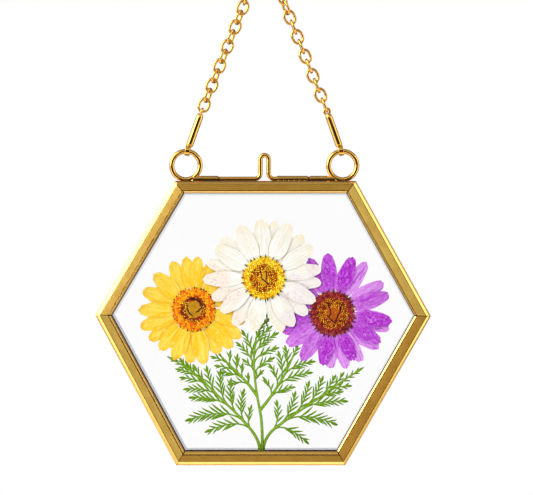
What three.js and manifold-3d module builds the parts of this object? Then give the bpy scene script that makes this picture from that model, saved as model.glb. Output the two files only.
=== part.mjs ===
// Pressed flower suncatcher: a hinged hexagon frame with two panes, pressed flowers and fern-like
// leaves between them, hung by two corner rings, two tube connectors and two chains from one ring.
// Millimetres, X to the right, +Z up, the front faces -Y. The origin is the inner crown of the
// hanging ring, the point that a hook touches.
import * as THREE from 'three';
import { mergeVertices } from 'three/addons/utils/BufferGeometryUtils.js';
import Module from 'manifold-3d';

const wasm = await Module();
wasm.setup();

// Hexagon frame: every corner is 120 degrees
const HALF_WIDTH = 75; // centre line to a side corner
const CORNER_DROP = 60.5; // top edge down to the side corners
const CORNER_RISE = 66.5; // bottom edge up to the side corners
const FRAME_HEIGHT = CORNER_DROP + CORNER_RISE;
const MITRE_GAP = 0.2;

// Rail section: u runs inwards from the outer edge, d runs out from the parting plane
const PARTING_Y = -0.15;
const PARTING_GAP = 0.3;
const HALF_THICKNESS = 3.6;
const RAIL_WIDTH = 6.35;
const WALL = 2.2; // outer wall beside the pane
const LIP_UNDERSIDE = 2.7; // d of the face that holds the pane
const LIP_EDGE = 2.95; // d where the inner bevel ends
const OUTER_CHAMFER = 1.3;
const FACE_END = 4.85; // u where the satin face ends
const BEAD_END = 5.3; // u where the inner bevel starts
const BEAD_DROP = 0.2;
const PARTING_CHAMFER = 1.0; // half of the V groove along the parting line
const HINGE_CHAMFER = 2.0; // the deeper groove that hides the hinge
const SAME_POINT = 0.001; // two points closer than this are one corner of an outline

// Panes
const PANE_INSET = 2.5;
const PANE_THICKNESS = 1.5;
const PANE_GAP = 0.3; // lip to pane

// Hinge at the bottom edge
const BARREL_RADIUS = 0.75;
const BARREL_BORE = 0.55;
const HINGE_PIN_RADIUS = 0.4;
const HINGE_LENGTH = 36;
const MIDDLE_KNUCKLE = 12;
const RUNNING_GAP = 0.15;
const KNUCKLE_GAP = 0.3;
const HINGE_WEB = 0.7; // thickness of the strip that joins a knuckle to its rail
const HINGE_WEB_OVERLAP = 0.3; // how far the strip runs into the rail

// Latch tubes and latch wire on the top edge
const TUBE_RADIUS = 1.35;
const TUBE_BORE = 1.15;
const TUBE_SPANS = {
  left_latch_tube: [-28.9, -20.7],
  middle_latch_tube: [5.7, 19.5],
  right_latch_tube: [20.4, 28.9],
};
const LATCH_RADIUS = 1.0;
const LATCH_TIPS = [-23.7, 23.4];
const LATCH_CENTRE = 0.1; // X of the finger loop
const LATCH_LEG = 1.86; // centre of the loop to a leg's axis
const LATCH_FLARE = 2.4;
const LATCH_RISE = 8.75; // tube axis up to the centre of the loop's arc

// Corner rings
const RING_X = 35.07;
const RING_RADIUS = 6.35; // centre line
const RING_WIRE = 1.1;
const RING_CONTACT = THREE.MathUtils.degToRad(6); // contact point from the crown towards the centre

// Tube connectors
const BAR_TILT = THREE.MathUtils.degToRad(19.6);
const BAR_RADIUS = 1.57;
const BAR_EYE_SPAN = 18.6; // lower eye centre to upper eye centre
const LOWER_EYE_BORE = 1.68;
const LOWER_EYE_RADIUS = 2.4;
const LOWER_EYE_WIDTH = 2.2;
const LOWER_EYE_TURN = THREE.MathUtils.degToRad(9); // the strap leans towards the ring's wire
const LOWER_EYE_LIFT = 0.3; // eye centre above the ring wire's centre
const UPPER_EYE_RADIUS = 1.35;
const UPPER_EYE_WIRE = 0.5;
const UPPER_EYE_INSET = 0.25; // tube end below the upper eye's centre
const BAR_START = 0.2; // tube start above the lower eye's centre

// Chains
const LINKS_PER_CHAIN = 14;
const LINK_PITCH = 4.69;
const LINK_WIRE = 0.6;
const LINK_HALF_LENGTH = 3.05; // centre line
const LINK_HALF_WIDTH = 2.25;
const LINK_GAP = 0.2; // wire to wire where links hang in each other
const TWIST_FREE_LINKS = 10; // links above this one turn step by step
const LINK_LEAN = THREE.MathUtils.degToRad(68); // how far every second link of the left chain turns
const CHAIN_TILT = THREE.MathUtils.degToRad(21.6);

// Hanging ring
const HANGER_WIRE = 1.1;

// Pressed flowers and leaves: depth of each layer's back face
const PETAL_THICKNESS = 0.3;
const WHITE_BACK = -0.6;
const COLOURED_BACK = 0;
const LEAF_THICKNESS = 0.15;
const LEAF_BACKS = { left: 0.3, centre: 0.55, right: 0.8 };
const COLLAR_INSET = 0.2; // collar of the petals, inside and outside the disc's edge
const COLLAR_REACH = 0.5;
const DISC_GAP = 0.2;
const DISC_SIDES = 12; // facets round a disc and its collar
const DISC_RIM = 0.25; // depth of a disc at its edge
const DISC_SHOULDER = [0.6, 0.55]; // share of the radius, and of the dome's height there
const PETAL_SIDE = [[0, 0.5], [0.45, 0.94], [0.8, 0.96], [1, 0.36]]; // [share of length, of width]
const STEM_FOOT = 0.45; // half width of a leaf's stem at its foot
const STEM_TAPER = 0.35; // taken off the half width towards its tip
const LEAFLET_FOOT = 0.25; // half widths of a leaflet, the widest growing with its length
const LEAFLET_WIDEST = 0.5;
const LEAFLET_WIDENING = 0.11;
const LEAFLET_BEND = 0.4; // share of a leaflet's length that it first follows the stem

// Each petal: angle in degrees, reach from the flower's centre, full width
const FLOWERS = {
  white: {
    x: -0.2, rise: 83.6, disc: 9.85, back: WHITE_BACK, dome: 0.42, notch: 0, colour: 0xf6f1e2,
    discColour: 0xe8a818,
    petals: [
      [92, 26.6, 7.5], [78, 26.1, 6.1], [64, 27.1, 8.6], [46, 26.2, 7.2], [31, 26.3, 7.6],
      [8.5, 26.2, 6.4], [-4.5, 25.8, 5.6], [-23, 25.5, 8.0], [-39, 25.6, 7.2], [-59, 25.4, 7.4],
      [-70, 25.4, 7.2], [-101, 24.5, 8.2], [-123, 25.4, 6.8], [-142.5, 24.6, 7.2],
      [-159.5, 25.2, 7.2], [181.5, 27.3, 6.9], [165, 26.6, 6.2], [149, 25.9, 8.9],
      [137, 26.2, 7.0], [116.5, 26.2, 8.9],
    ],
  },
  yellow: {
    x: -31.6, rise: 69.5, disc: 9.9, back: COLOURED_BACK, dome: 0.8, notch: 0.05, colour: 0xfcc62c,
    discColour: 0xe07812,
    petals: [
      [93, 24.5, 8.9], [115, 23.7, 7.1], [139, 24.1, 7.9], [159.5, 24.6, 7.3], [180.5, 24.9, 6.9],
      [198, 25.3, 6.8], [214, 24.3, 6.6], [229, 23.9, 7.0], [247.5, 24.3, 7.3], [265.5, 24.4, 7.0],
      [281, 25.1, 7.5], [301, 23.2, 7.3], [316, 24.6, 7.5], [330, 24.8, 7.7], [347, 24.0, 7.0],
      [20, 24.0, 7.0], [48, 23.6, 7.0], [74, 23.3, 6.2],
    ],
  },
  purple: {
    x: 30.5, rise: 67.7, disc: 10.2, back: COLOURED_BACK, dome: 0.8, notch: 0.05, colour: 0xb84fd8,
    discColour: 0x8a3a28,
    petals: [
      [95, 27.1, 7.3], [71, 27.1, 7.1], [57, 27.7, 6.4], [32, 26.9, 6.7], [19, 27.0, 7.1],
      [-8, 26.9, 7.3], [-15.5, 26.6, 6.0], [-31, 25.3, 6.4], [-37.5, 26.0, 7.2], [-59, 25.4, 5.6],
      [-66, 23.4, 6.4], [-76, 25.6, 6.0], [-92, 24.9, 6.0], [-100, 24.0, 7.0], [-124, 25.3, 7.1],
      [-146, 25.1, 8.0], [-160, 24.0, 6.2], [-176, 24.0, 6.2], [160, 25.0, 6.5], [138, 26.0, 6.5],
      [113, 27.0, 7.0],
    ],
  },
};

// Leaves: stems as points (X, height above the bottom edge) from the foot to the tip, and
// leaflets as the share of the stem's length where each one leaves, then its tip
const FRONDS = {
  left: [
    {
      stem: [
        [-2.1, 4.6], [-2.4, 9.2], [-4.9, 14.3], [-10.8, 21.2], [-18.7, 29.0], [-27.5, 37.5],
        [-35.0, 43.5], [-42.2, 47.8],
      ],
      leaflets: [
        [0.22, -26.9, 14.4], [0.23, -5.5, 27.1], [0.31, -35.7, 19.5], [0.3, -8.8, 34.4],
        [0.4, -14.8, 39.1], [0.49, -34.2, 30.0], [0.51, -19.5, 43.2], [0.61, -36.6, 33.7],
        [0.62, -25.9, 44.7], [0.71, -38.3, 39.1], [0.72, -31.9, 45.1], [0.8, -40.1, 43.0],
        [0.81, -35.3, 46.3], [0.9, -38.2, 48.3],
      ],
    },
  ],
  centre: [
    {
      stem: [
        [-1.1, 4.6], [-0.9, 11.4], [-1.4, 20.8], [-3.3, 31.5], [-4.5, 42.0], [-4.5, 50.0],
        [-3.6, 56.8], [-1.0, 62.2], [2.0, 65.2],
      ],
      leaflets: [
        [0.59, 0.1, 42.6], [0.63, 5.1, 48.2], [0.71, 7.0, 52.5], [0.76, 6.8, 59.3],
        [0.82, 3.8, 62.3], [0.65, -10.2, 47.6], [0.69, -12.9, 55.1], [0.74, -10.3, 60.7],
      ],
    },
    {
      stem: [[-3.2, 30.8], [-6.8, 35.6], [-11.5, 40.7], [-17.8, 46.9], [-23.4, 52.7]],
      leaflets: [
        [0.22, -16.8, 35.6], [0.2, -7.2, 41.6], [0.35, -21.2, 41.3], [0.36, -9.6, 46.0],
        [0.5, -22.8, 44.4], [0.48, -11.8, 50.0], [0.68, -24.4, 48.6], [0.64, -15.0, 51.6],
      ],
    },
    {
      stem: [[-1.7, 24.6], [2.3, 29.7], [6.6, 36.1], [10.0, 42.2], [14.9, 53.2]],
      leaflets: [
        [0.22, 14.2, 34.8], [0.24, -0.9, 39.6], [0.42, 22.0, 41.3], [0.4, 1.8, 45.6],
        [0.62, 23.2, 46.3], [0.5, 6.1, 51.2], [0.66, 9.1, 53.7],
      ],
    },
  ],
  right: [
    {
      stem: [
        [-0.1, 4.6], [-0.2, 8.8], [2.7, 14.3], [9.1, 19.5], [17.2, 25.0], [24.9, 30.2],
        [34.4, 37.0], [43.4, 42.9],
      ],
      leaflets: [
        [0.23, 20.2, 9.0], [0.22, 5.5, 29.3], [0.3, 14.1, 33.2], [0.35, 33.1, 17.6],
        [0.44, 20.2, 37.9], [0.53, 37.8, 28.3], [0.55, 26.5, 40.0], [0.68, 35.7, 32.7],
        [0.68, 32.2, 40.5], [0.77, 39.5, 35.3], [0.77, 35.9, 41.7],
      ],
    },
  ],
};

// Where the pieces come together
const SQRT3 = Math.sqrt(3);
const TOP_HALF = HALF_WIDTH - CORNER_DROP / SQRT3;
const BOTTOM_HALF = HALF_WIDTH - CORNER_RISE / SQRT3;
const FRONT = -1;
const BACK = 1;

const tubeAxisHeight = (TUBE_RADIUS + RUNNING_GAP) * Math.SQRT2 - PARTING_CHAMFER - PARTING_GAP / 2;
const ringBottomHeight = (RING_WIRE + RUNNING_GAP) * Math.SQRT2 - PARTING_CHAMFER - PARTING_GAP / 2;
const ringCentreHeight = ringBottomHeight + RING_RADIUS;
const hingeAxisHeight = HINGE_CHAMFER + PARTING_GAP / 2 - (BARREL_RADIUS + RUNNING_GAP) * Math.SQRT2;

const swing = { // the point about which the frame swings in the connector's lower eye
  x: -RING_X + RING_RADIUS * Math.sin(RING_CONTACT),
  z: ringCentreHeight + RING_RADIUS * Math.cos(RING_CONTACT),
};
const barDirection = new THREE.Vector3(Math.sin(BAR_TILT), 0, Math.cos(BAR_TILT));
const chainDirection = new THREE.Vector3(Math.sin(CHAIN_TILT), 0, Math.cos(CHAIN_TILT));
const lowerEye = new THREE.Vector3(swing.x, PARTING_Y, swing.z)
  .addScaledVector(barDirection, LOWER_EYE_LIFT);
const upperEye = lowerEye.clone().addScaledVector(barDirection, BAR_EYE_SPAN);

// The chain's lines meet at the hanging ring's centre
const hangerCentreHeight = upperEye.z - upperEye.x / Math.tan(CHAIN_TILT);
const firstLink = UPPER_EYE_RADIUS - UPPER_EYE_WIRE - LINK_WIRE - LINK_GAP + LINK_HALF_LENGTH;
const hangerContact = firstLink + (LINKS_PER_CHAIN - 1) * LINK_PITCH
  + LINK_HALF_LENGTH - LINK_WIRE - LINK_GAP - HANGER_WIRE;
const hangerRadius = -upperEye.x / Math.sin(CHAIN_TILT) - hangerContact;
const topEdgeZ = -(hangerCentreHeight + hangerRadius - HANGER_WIRE);

// Materials
function finish(color, roughness, metalness, extra = {}) {
  return () => new THREE.MeshStandardMaterial({ color, roughness, metalness, ...extra });
}
const polishedBrass = finish(0xd9a53a, 0.18, 1);
const satinBrass = finish(0xbd9340, 0.42, 1);
const clearGlass = finish(0xeef3f5, 0.05, 0, { transparent: true, opacity: 0.3 });
const leafGreen = finish(0x5c9422, 0.7, 0);

function part(name, geometry, material) {
  const mesh = new THREE.Mesh(geometry, material());
  mesh.name = name;
  return mesh;
}

// Boolean helpers
function toSolid(geometry) {
  const bare = new THREE.BufferGeometry();
  bare.setAttribute('position', geometry.getAttribute('position').clone());
  if (geometry.index) bare.setIndex(geometry.index.clone());
  const merged = mergeVertices(bare, 1e-4);
  return new wasm.Manifold(new wasm.Mesh({
    numProp: 3,
    vertProperties: new Float32Array(merged.getAttribute('position').array),
    triVerts: new Uint32Array(merged.index.array),
  }));
}

function toGeometry(solid) {
  const mesh = solid.getMesh();
  const geometry = new THREE.BufferGeometry();
  geometry.setAttribute('position', new THREE.Float32BufferAttribute(mesh.vertProperties, 3));
  geometry.setIndex(Array.from(mesh.triVerts));
  geometry.computeVertexNormals();
  return geometry;
}

const join = (geometries) => toGeometry(
  geometries.map(toSolid).reduce((whole, next) => whole.add(next)),
);

// Basic shapes
function wire(radius, length, segments) { // a round rod along X
  return new THREE.CylinderGeometry(radius, radius, length, segments).rotateZ(Math.PI / 2);
}

function sleeve(outer, bore, length, segments) { // a hollow tube along X
  const half = length / 2;
  const profile = [[bore, -half], [outer, -half], [outer, half], [bore, half], [bore, -half]]
    .map(([r, y]) => new THREE.Vector2(r, y));
  return new THREE.LatheGeometry(profile, segments).rotateZ(Math.PI / 2);
}

function wireRing(radius, wireRadius, sides, steps) { // a ring that faces the front
  return new THREE.TorusGeometry(radius, wireRadius, sides, steps).rotateX(Math.PI / 2);
}

function plate(points, back, thickness) { // an outline in X and Z, made into a sheet
  const shape = new THREE.Shape(points.map(([x, z]) => new THREE.Vector2(x, z)));
  return new THREE.ExtrudeGeometry(shape, { depth: thickness, bevelEnabled: false })
    .rotateX(Math.PI / 2)
    .translate(0, back, 0);
}

// Rails
const corners = [
  [-TOP_HALF, 0], [TOP_HALF, 0], [HALF_WIDTH, -CORNER_DROP],
  [BOTTOM_HALF, -FRAME_HEIGHT], [-BOTTOM_HALF, -FRAME_HEIGHT], [-HALF_WIDTH, -CORNER_DROP],
];
const RAILS = ['top', 'upper_right', 'lower_right', 'bottom', 'lower_left', 'upper_left'];

function chamferOf(index) {
  return RAILS[index] === 'bottom' ? HINGE_CHAMFER : PARTING_CHAMFER;
}

function endChamfers(index) { // at a corner, both rails have the deeper of their two grooves
  return [-1, 1].map((end) => Math.max(
    chamferOf(index), chamferOf((index + end + RAILS.length) % RAILS.length),
  ));
}

function railSection(side, chamfer) {
  const y = (d) => PARTING_Y + side * (PARTING_GAP / 2 + d);
  const outline = [
    [chamfer, 0], [0, chamfer], [0, HALF_THICKNESS - OUTER_CHAMFER],
    [OUTER_CHAMFER, HALF_THICKNESS], [FACE_END, HALF_THICKNESS],
    [BEAD_END, HALF_THICKNESS - BEAD_DROP], [RAIL_WIDTH, LIP_EDGE],
    [RAIL_WIDTH, LIP_UNDERSIDE], [WALL, LIP_UNDERSIDE], [WALL, 0],
  ];
  return outline.map(([u, d]) => new THREE.Vector2(u, y(d)));
}

function railGeometry(side, length, chamfers) { // local X along the rail, local Z outwards
  const sections = chamfers.map((chamfer) => railSection(side, chamfer));
  const geometry = new THREE.ExtrudeGeometry(
    new THREE.Shape(sections[0]), { depth: 1, bevelEnabled: false },
  );
  const position = geometry.getAttribute('position');
  const clearance = MITRE_GAP / 2 / Math.sin(Math.PI / 3);
  for (let i = 0; i < position.count; i += 1) {
    const here = new THREE.Vector2(position.getX(i), position.getY(i));
    const corner = sections[0].findIndex((point) => point.distanceTo(here) < SAME_POINT);
    const end = position.getZ(i) > 0.5 ? 1 : -1;
    const { x: u, y } = sections[end > 0 ? 1 : 0][corner];
    position.setXYZ(i, end * (length / 2 - u / SQRT3 - clearance), y, -u);
  }
  return geometry;
}

function hingeParts(side) { // in the bottom rail's local frame, before it is turned
  const axis = [PARTING_Y, -hingeAxisHeight];
  const place = (geometry, x) => geometry.translate(x, axis[0], axis[1]);
  const sideLength = (HINGE_LENGTH - MIDDLE_KNUCKLE) / 2 - KNUCKLE_GAP;
  const web = (length, x) => {
    const reach = BARREL_RADIUS + RUNNING_GAP + HINGE_WEB_OVERLAP;
    const start = (BARREL_RADIUS + BARREL_BORE) / 2;
    return place(
      new THREE.BoxGeometry(length, HINGE_WEB, reach - start)
        .translate(0, 0, -(reach + start) / 2)
        .rotateX(side * Math.PI / 4),
      x,
    );
  };
  if (side === FRONT) {
    return [
      place(wire(BARREL_RADIUS, MIDDLE_KNUCKLE, 10), 0),
      place(wire(HINGE_PIN_RADIUS, HINGE_LENGTH, 6), 0),
      web(MIDDLE_KNUCKLE, 0),
    ];
  }
  return [-1, 1].flatMap((hand) => {
    const x = hand * (HINGE_LENGTH - sideLength) / 2;
    return [place(sleeve(BARREL_RADIUS, BARREL_BORE, sideLength, 10), x), web(sideLength, x)];
  });
}

function rail(side, index) {
  const [x1, z1] = corners[index];
  const [x2, z2] = corners[(index + 1) % corners.length];
  const name = RAILS[index];
  let geometry = railGeometry(side, Math.hypot(x2 - x1, z2 - z1), endChamfers(index));
  if (name === 'bottom') geometry = join([geometry, ...hingeParts(side)]);
  const half = side === FRONT ? 'front' : 'back';
  const mesh = part(`${half}_rail_${name}`, geometry, satinBrass);
  mesh.position.set((x1 + x2) / 2, 0, (z1 + z2) / 2);
  mesh.rotation.y = Math.atan2(z1 - z2, x2 - x1);
  return mesh;
}

function pane(side) {
  const drop = PANE_INSET;
  const corner = HALF_WIDTH - PANE_INSET * 2 / SQRT3;
  const top = TOP_HALF - PANE_INSET / SQRT3;
  const bottom = BOTTOM_HALF - PANE_INSET / SQRT3;
  const outline = [
    [-top, -drop], [-corner, -CORNER_DROP], [-bottom, drop - FRAME_HEIGHT],
    [bottom, drop - FRAME_HEIGHT], [corner, -CORNER_DROP], [top, -drop],
  ];
  const outer = PARTING_GAP / 2 + LIP_UNDERSIDE - PANE_GAP;
  const back = side === FRONT ? PARTING_Y - outer + PANE_THICKNESS : PARTING_Y + outer;
  return plate(outline, back, PANE_THICKNESS);
}

// Latch
class BentWire extends THREE.Curve { // passes through each point, one step per point
  constructor(points) {
    super();
    this.points = points;
  }

  getPoint(t, target = new THREE.Vector3()) {
    const place = t * (this.points.length - 1);
    const index = Math.min(Math.floor(place), this.points.length - 2);
    return target.lerpVectors(this.points[index], this.points[index + 1], place - index);
  }

  getPointAt(u, target) { return this.getPoint(u, target); }

  getTangentAt(u, target) { return this.getTangent(u, target); }
}

function arcPoints(x, z, radius, from, to, steps) {
  return Array.from({ length: steps + 1 }, (_, i) => {
    const angle = THREE.MathUtils.degToRad(from + (to - from) * i / steps);
    return new THREE.Vector3(x + radius * Math.cos(angle), 0, z + radius * Math.sin(angle));
  });
}

function latchWire() {
  const flareX = LATCH_LEG + LATCH_FLARE;
  const points = [
    new THREE.Vector3(LATCH_TIPS[0] - LATCH_CENTRE, 0, 0),
    ...arcPoints(-flareX, LATCH_FLARE, LATCH_FLARE, -90, 0, 4),
    ...arcPoints(0, LATCH_RISE, LATCH_LEG, 180, 0, 6),
    ...arcPoints(flareX, LATCH_FLARE, LATCH_FLARE, 180, 270, 4),
    new THREE.Vector3(LATCH_TIPS[1] - LATCH_CENTRE, 0, 0),
  ];
  const section = new THREE.Shape().absarc(0, 0, LATCH_RADIUS, 0, 2 * Math.PI);
  return new THREE.ExtrudeGeometry(section, {
    steps: points.length - 1,
    curveSegments: 4,
    extrudePath: new BentWire(points),
  });
}

// Connectors: local Z runs up the bar, local Y is the frame's depth
function connector(hand) {
  const top = BAR_EYE_SPAN - UPPER_EYE_INSET;
  const tube = new THREE.CylinderGeometry(BAR_RADIUS, BAR_RADIUS, top - BAR_START, 12)
    .rotateX(Math.PI / 2)
    .translate(0, 0, (top + BAR_START) / 2);
  const strapTurn = hand * LOWER_EYE_TURN;
  const strap = wire(LOWER_EYE_RADIUS, LOWER_EYE_WIDTH, 12).rotateY(strapTurn);
  const strapBore = wire(LOWER_EYE_BORE, 3 * LOWER_EYE_WIDTH, 12).rotateY(strapTurn);
  const turn = hand > 0 ? 0 : Math.PI / 2; // the first link on the left faces the front
  const eye = wireRing(UPPER_EYE_RADIUS, UPPER_EYE_WIRE, 5, 10).rotateZ(turn)
    .translate(0, 0, BAR_EYE_SPAN);
  const eyeBore = new THREE.CylinderGeometry(
    UPPER_EYE_RADIUS - UPPER_EYE_WIRE, UPPER_EYE_RADIUS - UPPER_EYE_WIRE, 4 * BAR_RADIUS, 10,
  ).rotateZ(turn).translate(0, 0, BAR_EYE_SPAN);
  const body = toSolid(tube).add(toSolid(strap)).subtract(toSolid(strapBore))
    .subtract(toSolid(eyeBore)).add(toSolid(eye));
  return toGeometry(body);
}

// One link: a ring drawn out along local Z, facing the front
function linkGeometry() {
  const steps = 8;
  const geometry = new THREE.TorusGeometry(LINK_HALF_WIDTH, LINK_WIRE, 6, steps)
    .rotateZ(Math.PI / steps)
    .rotateX(Math.PI / 2);
  const position = geometry.getAttribute('position');
  const stretch = LINK_HALF_LENGTH - LINK_HALF_WIDTH * Math.cos(Math.PI / steps);
  for (let i = 0; i < position.count; i += 1) {
    const z = position.getZ(i);
    position.setZ(i, z + Math.sign(z) * stretch);
  }
  return geometry;
}

function chain(side, hand, group) {
  for (let number = 1; number <= LINKS_PER_CHAIN; number += 1) {
    const along = firstLink + (number - 1) * LINK_PITCH;
    const mesh = part(`${side}_chain_link_${number}`, linkGeometry(), polishedBrass);
    const place = upperEye.clone().addScaledVector(chainDirection, along);
    mesh.position.set(-hand * place.x, place.y, place.z);
    mesh.rotation.order = 'YZX';
    mesh.rotation.y = -hand * CHAIN_TILT;
    mesh.rotation.z = linkTurn(hand, number);
    group.add(mesh);
  }
}

// Neighbouring links cross, and the last one crosses the hanging ring
function linkTurn(hand, number) {
  const quarter = Math.PI / 2;
  if (hand < 0) {
    const lean = number <= TWIST_FREE_LINKS ? LINK_LEAN : quarter;
    return number % 2 === 0 ? lean : 0;
  }
  const extra = Math.max(0, number - TWIST_FREE_LINKS) / (LINKS_PER_CHAIN - TWIST_FREE_LINKS);
  return (number % 2 === 0 ? 0 : quarter) + extra * quarter;
}

// Flowers
function petalOutline(flower, [angle, reach, width]) {
  const start = flower.disc + COLLAR_REACH / 3;
  const length = reach - start;
  const half = PETAL_SIDE.map(([t, share]) => [start + t * length, share * width / 2]);
  const tip = flower.notch > 0 ? [[reach - flower.notch * length, 0]] : [];
  const outline = [...half.map(([r, w]) => [r, -w]), ...tip, ...half.reverse()];
  const turn = THREE.MathUtils.degToRad(angle);
  return outline.map(([r, w]) => [
    r * Math.cos(turn) - w * Math.sin(turn),
    r * Math.sin(turn) + w * Math.cos(turn),
  ]);
}

function whorl(flower) {
  const inner = flower.disc - COLLAR_INSET;
  const outer = flower.disc + COLLAR_REACH;
  const front = flower.back - PETAL_THICKNESS;
  const collar = new THREE.LatheGeometry([
    [inner, -flower.back], [outer, -flower.back], [outer, -front], [inner, -front],
    [inner, -flower.back],
  ].map(([r, y]) => new THREE.Vector2(r, y)), DISC_SIDES).rotateX(Math.PI);
  const petals = flower.petals.map((petal) => plate(
    petalOutline(flower, petal), flower.back, PETAL_THICKNESS,
  ));
  return join([collar, ...petals]);
}

function discDome(flower) {
  const radius = flower.disc - COLLAR_INSET - DISC_GAP;
  const back = -flower.back;
  const rim = back + DISC_RIM;
  const rise = flower.dome - DISC_RIM;
  const [shoulder, shoulderRise] = DISC_SHOULDER;
  const profile = [
    [0, back], [radius, back], [radius, rim],
    [shoulder * radius, rim + shoulderRise * rise], [0, rim + rise],
  ].map(([r, y]) => new THREE.Vector2(r, y));
  return new THREE.LatheGeometry(profile, DISC_SIDES).rotateX(Math.PI);
}

// Leaves
function ribbon(points, halfWidths) { // the outline of a strip that follows points
  const left = [];
  const right = [];
  points.forEach(([x, z], i) => {
    const [xa, za] = points[Math.max(i - 1, 0)];
    const [xb, zb] = points[Math.min(i + 1, points.length - 1)];
    const length = Math.hypot(xb - xa, zb - za);
    const w = halfWidths[i];
    left.push([x - (zb - za) / length * w, z + (xb - xa) / length * w]);
    if (w > 0) right.push([x + (zb - za) / length * w, z - (xb - xa) / length * w]);
  });
  return [...left, ...right.reverse()];
}

function alongStem(stem, share) {
  const lengths = stem.slice(1).map(([x, z], i) => Math.hypot(x - stem[i][0], z - stem[i][1]));
  let rest = share * lengths.reduce((sum, length) => sum + length, 0);
  let i = 0;
  while (rest > lengths[i] && i < lengths.length - 1) {
    rest -= lengths[i];
    i += 1;
  }
  const dx = (stem[i + 1][0] - stem[i][0]) / lengths[i];
  const dz = (stem[i + 1][1] - stem[i][1]) / lengths[i];
  return { point: [stem[i][0] + dx * rest, stem[i][1] + dz * rest], direction: [dx, dz] };
}

function leafletOutline(stem, [share, tipX, tipZ]) {
  const { point: [x, z], direction: [dx, dz] } = alongStem(stem, share);
  const length = Math.hypot(tipX - x, tipZ - z);
  const bendX = x + dx * length * LEAFLET_BEND;
  const bendZ = z + dz * length * LEAFLET_BEND;
  const centre = [0, 0.5, 1].map((t) => [
    (1 - t) ** 2 * x + 2 * t * (1 - t) * bendX + t * t * tipX,
    (1 - t) ** 2 * z + 2 * t * (1 - t) * bendZ + t * t * tipZ,
  ]);
  return ribbon(centre, [LEAFLET_FOOT, LEAFLET_WIDEST + LEAFLET_WIDENING * length, 0]);
}

function frond(branches, back) {
  const pieces = branches.flatMap(({ stem, leaflets }) => {
    const widths = stem.map((_, i) => STEM_FOOT - STEM_TAPER * i / (stem.length - 1));
    const outlines = [
      ribbon(stem, widths), ...leaflets.map((leaflet) => leafletOutline(stem, leaflet)),
    ];
    return outlines.map((outline) => plate(outline, back, LEAF_THICKNESS));
  });
  return join(pieces);
}

// Assembly: the hanger carries the back frame, and the front frame is hinged to it
function hanger() {
  const group = new THREE.Group();
  const ring = part('hanging_ring', wireRing(hangerRadius, HANGER_WIRE, 6, 20), polishedBrass);
  ring.position.set(0, PARTING_Y, hangerCentreHeight);
  group.add(ring);
  [['left', -1], ['right', 1]].forEach(([side, hand]) => {
    const bar = part(`${side}_tube_connector`, connector(hand), polishedBrass);
    bar.position.set(-hand * lowerEye.x, lowerEye.y, lowerEye.z);
    bar.rotation.y = -hand * BAR_TILT;
    group.add(bar);
    chain(side, hand, group);
  });
  return group;
}

function latchTube(name) {
  const [from, to] = TUBE_SPANS[name];
  const tube = part(name, sleeve(TUBE_RADIUS, TUBE_BORE, to - from, 10), polishedBrass);
  tube.position.set((from + to) / 2, PARTING_Y, tubeAxisHeight);
  return tube;
}

function backFrame() {
  const group = new THREE.Group();
  RAILS.forEach((_, index) => group.add(rail(BACK, index)));
  group.add(part('back_pane', pane(BACK), clearGlass));
  group.add(latchTube('left_latch_tube'), latchTube('right_latch_tube'));
  [['left', -1], ['right', 1]].forEach(([side, hand]) => {
    const ring = part(`${side}_corner_ring`, wireRing(RING_RADIUS, RING_WIRE, 6, 16), polishedBrass);
    ring.position.set(hand * RING_X, PARTING_Y, ringCentreHeight);
    group.add(ring);
  });
  Object.entries(FLOWERS).forEach(([name, flower]) => {
    const petals = part(`${name}_petals`, whorl(flower), finish(flower.colour, 0.75, 0));
    const disc = part(`${name}_disc`, discDome(flower), finish(flower.discColour, 0.85, 0));
    [petals, disc].forEach((mesh) => {
      mesh.position.set(flower.x, 0, flower.rise - FRAME_HEIGHT);
      group.add(mesh);
    });
  });
  Object.entries(FRONDS).forEach(([name, branches]) => {
    const leaf = part(`leaf_${name}`, frond(branches, LEAF_BACKS[name]), leafGreen);
    leaf.position.z = -FRAME_HEIGHT;
    group.add(leaf);
  });
  return group;
}

function frontFrame() {
  const group = new THREE.Group();
  RAILS.forEach((_, index) => group.add(rail(FRONT, index)));
  group.add(part('front_pane', pane(FRONT), clearGlass), latchTube('middle_latch_tube'));
  return group;
}

function latch() {
  const mesh = part('latch_wire', latchWire(), polishedBrass);
  mesh.position.set(LATCH_CENTRE, PARTING_Y, tubeAxisHeight);
  return mesh;
}

const suncatcher = new THREE.Group();
suncatcher.add(hanger(), backFrame(), frontFrame(), latch());
suncatcher.children.forEach((group) => group.translateZ(topEdgeZ));

export default suncatcher;
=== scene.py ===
# Pressed flower suncatcher: the looks of the brass frame, chains, glass, flowers and leaves, built
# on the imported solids. Lengths are millimetres until a piece's mesh is made, and metres after that.
import math

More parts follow.
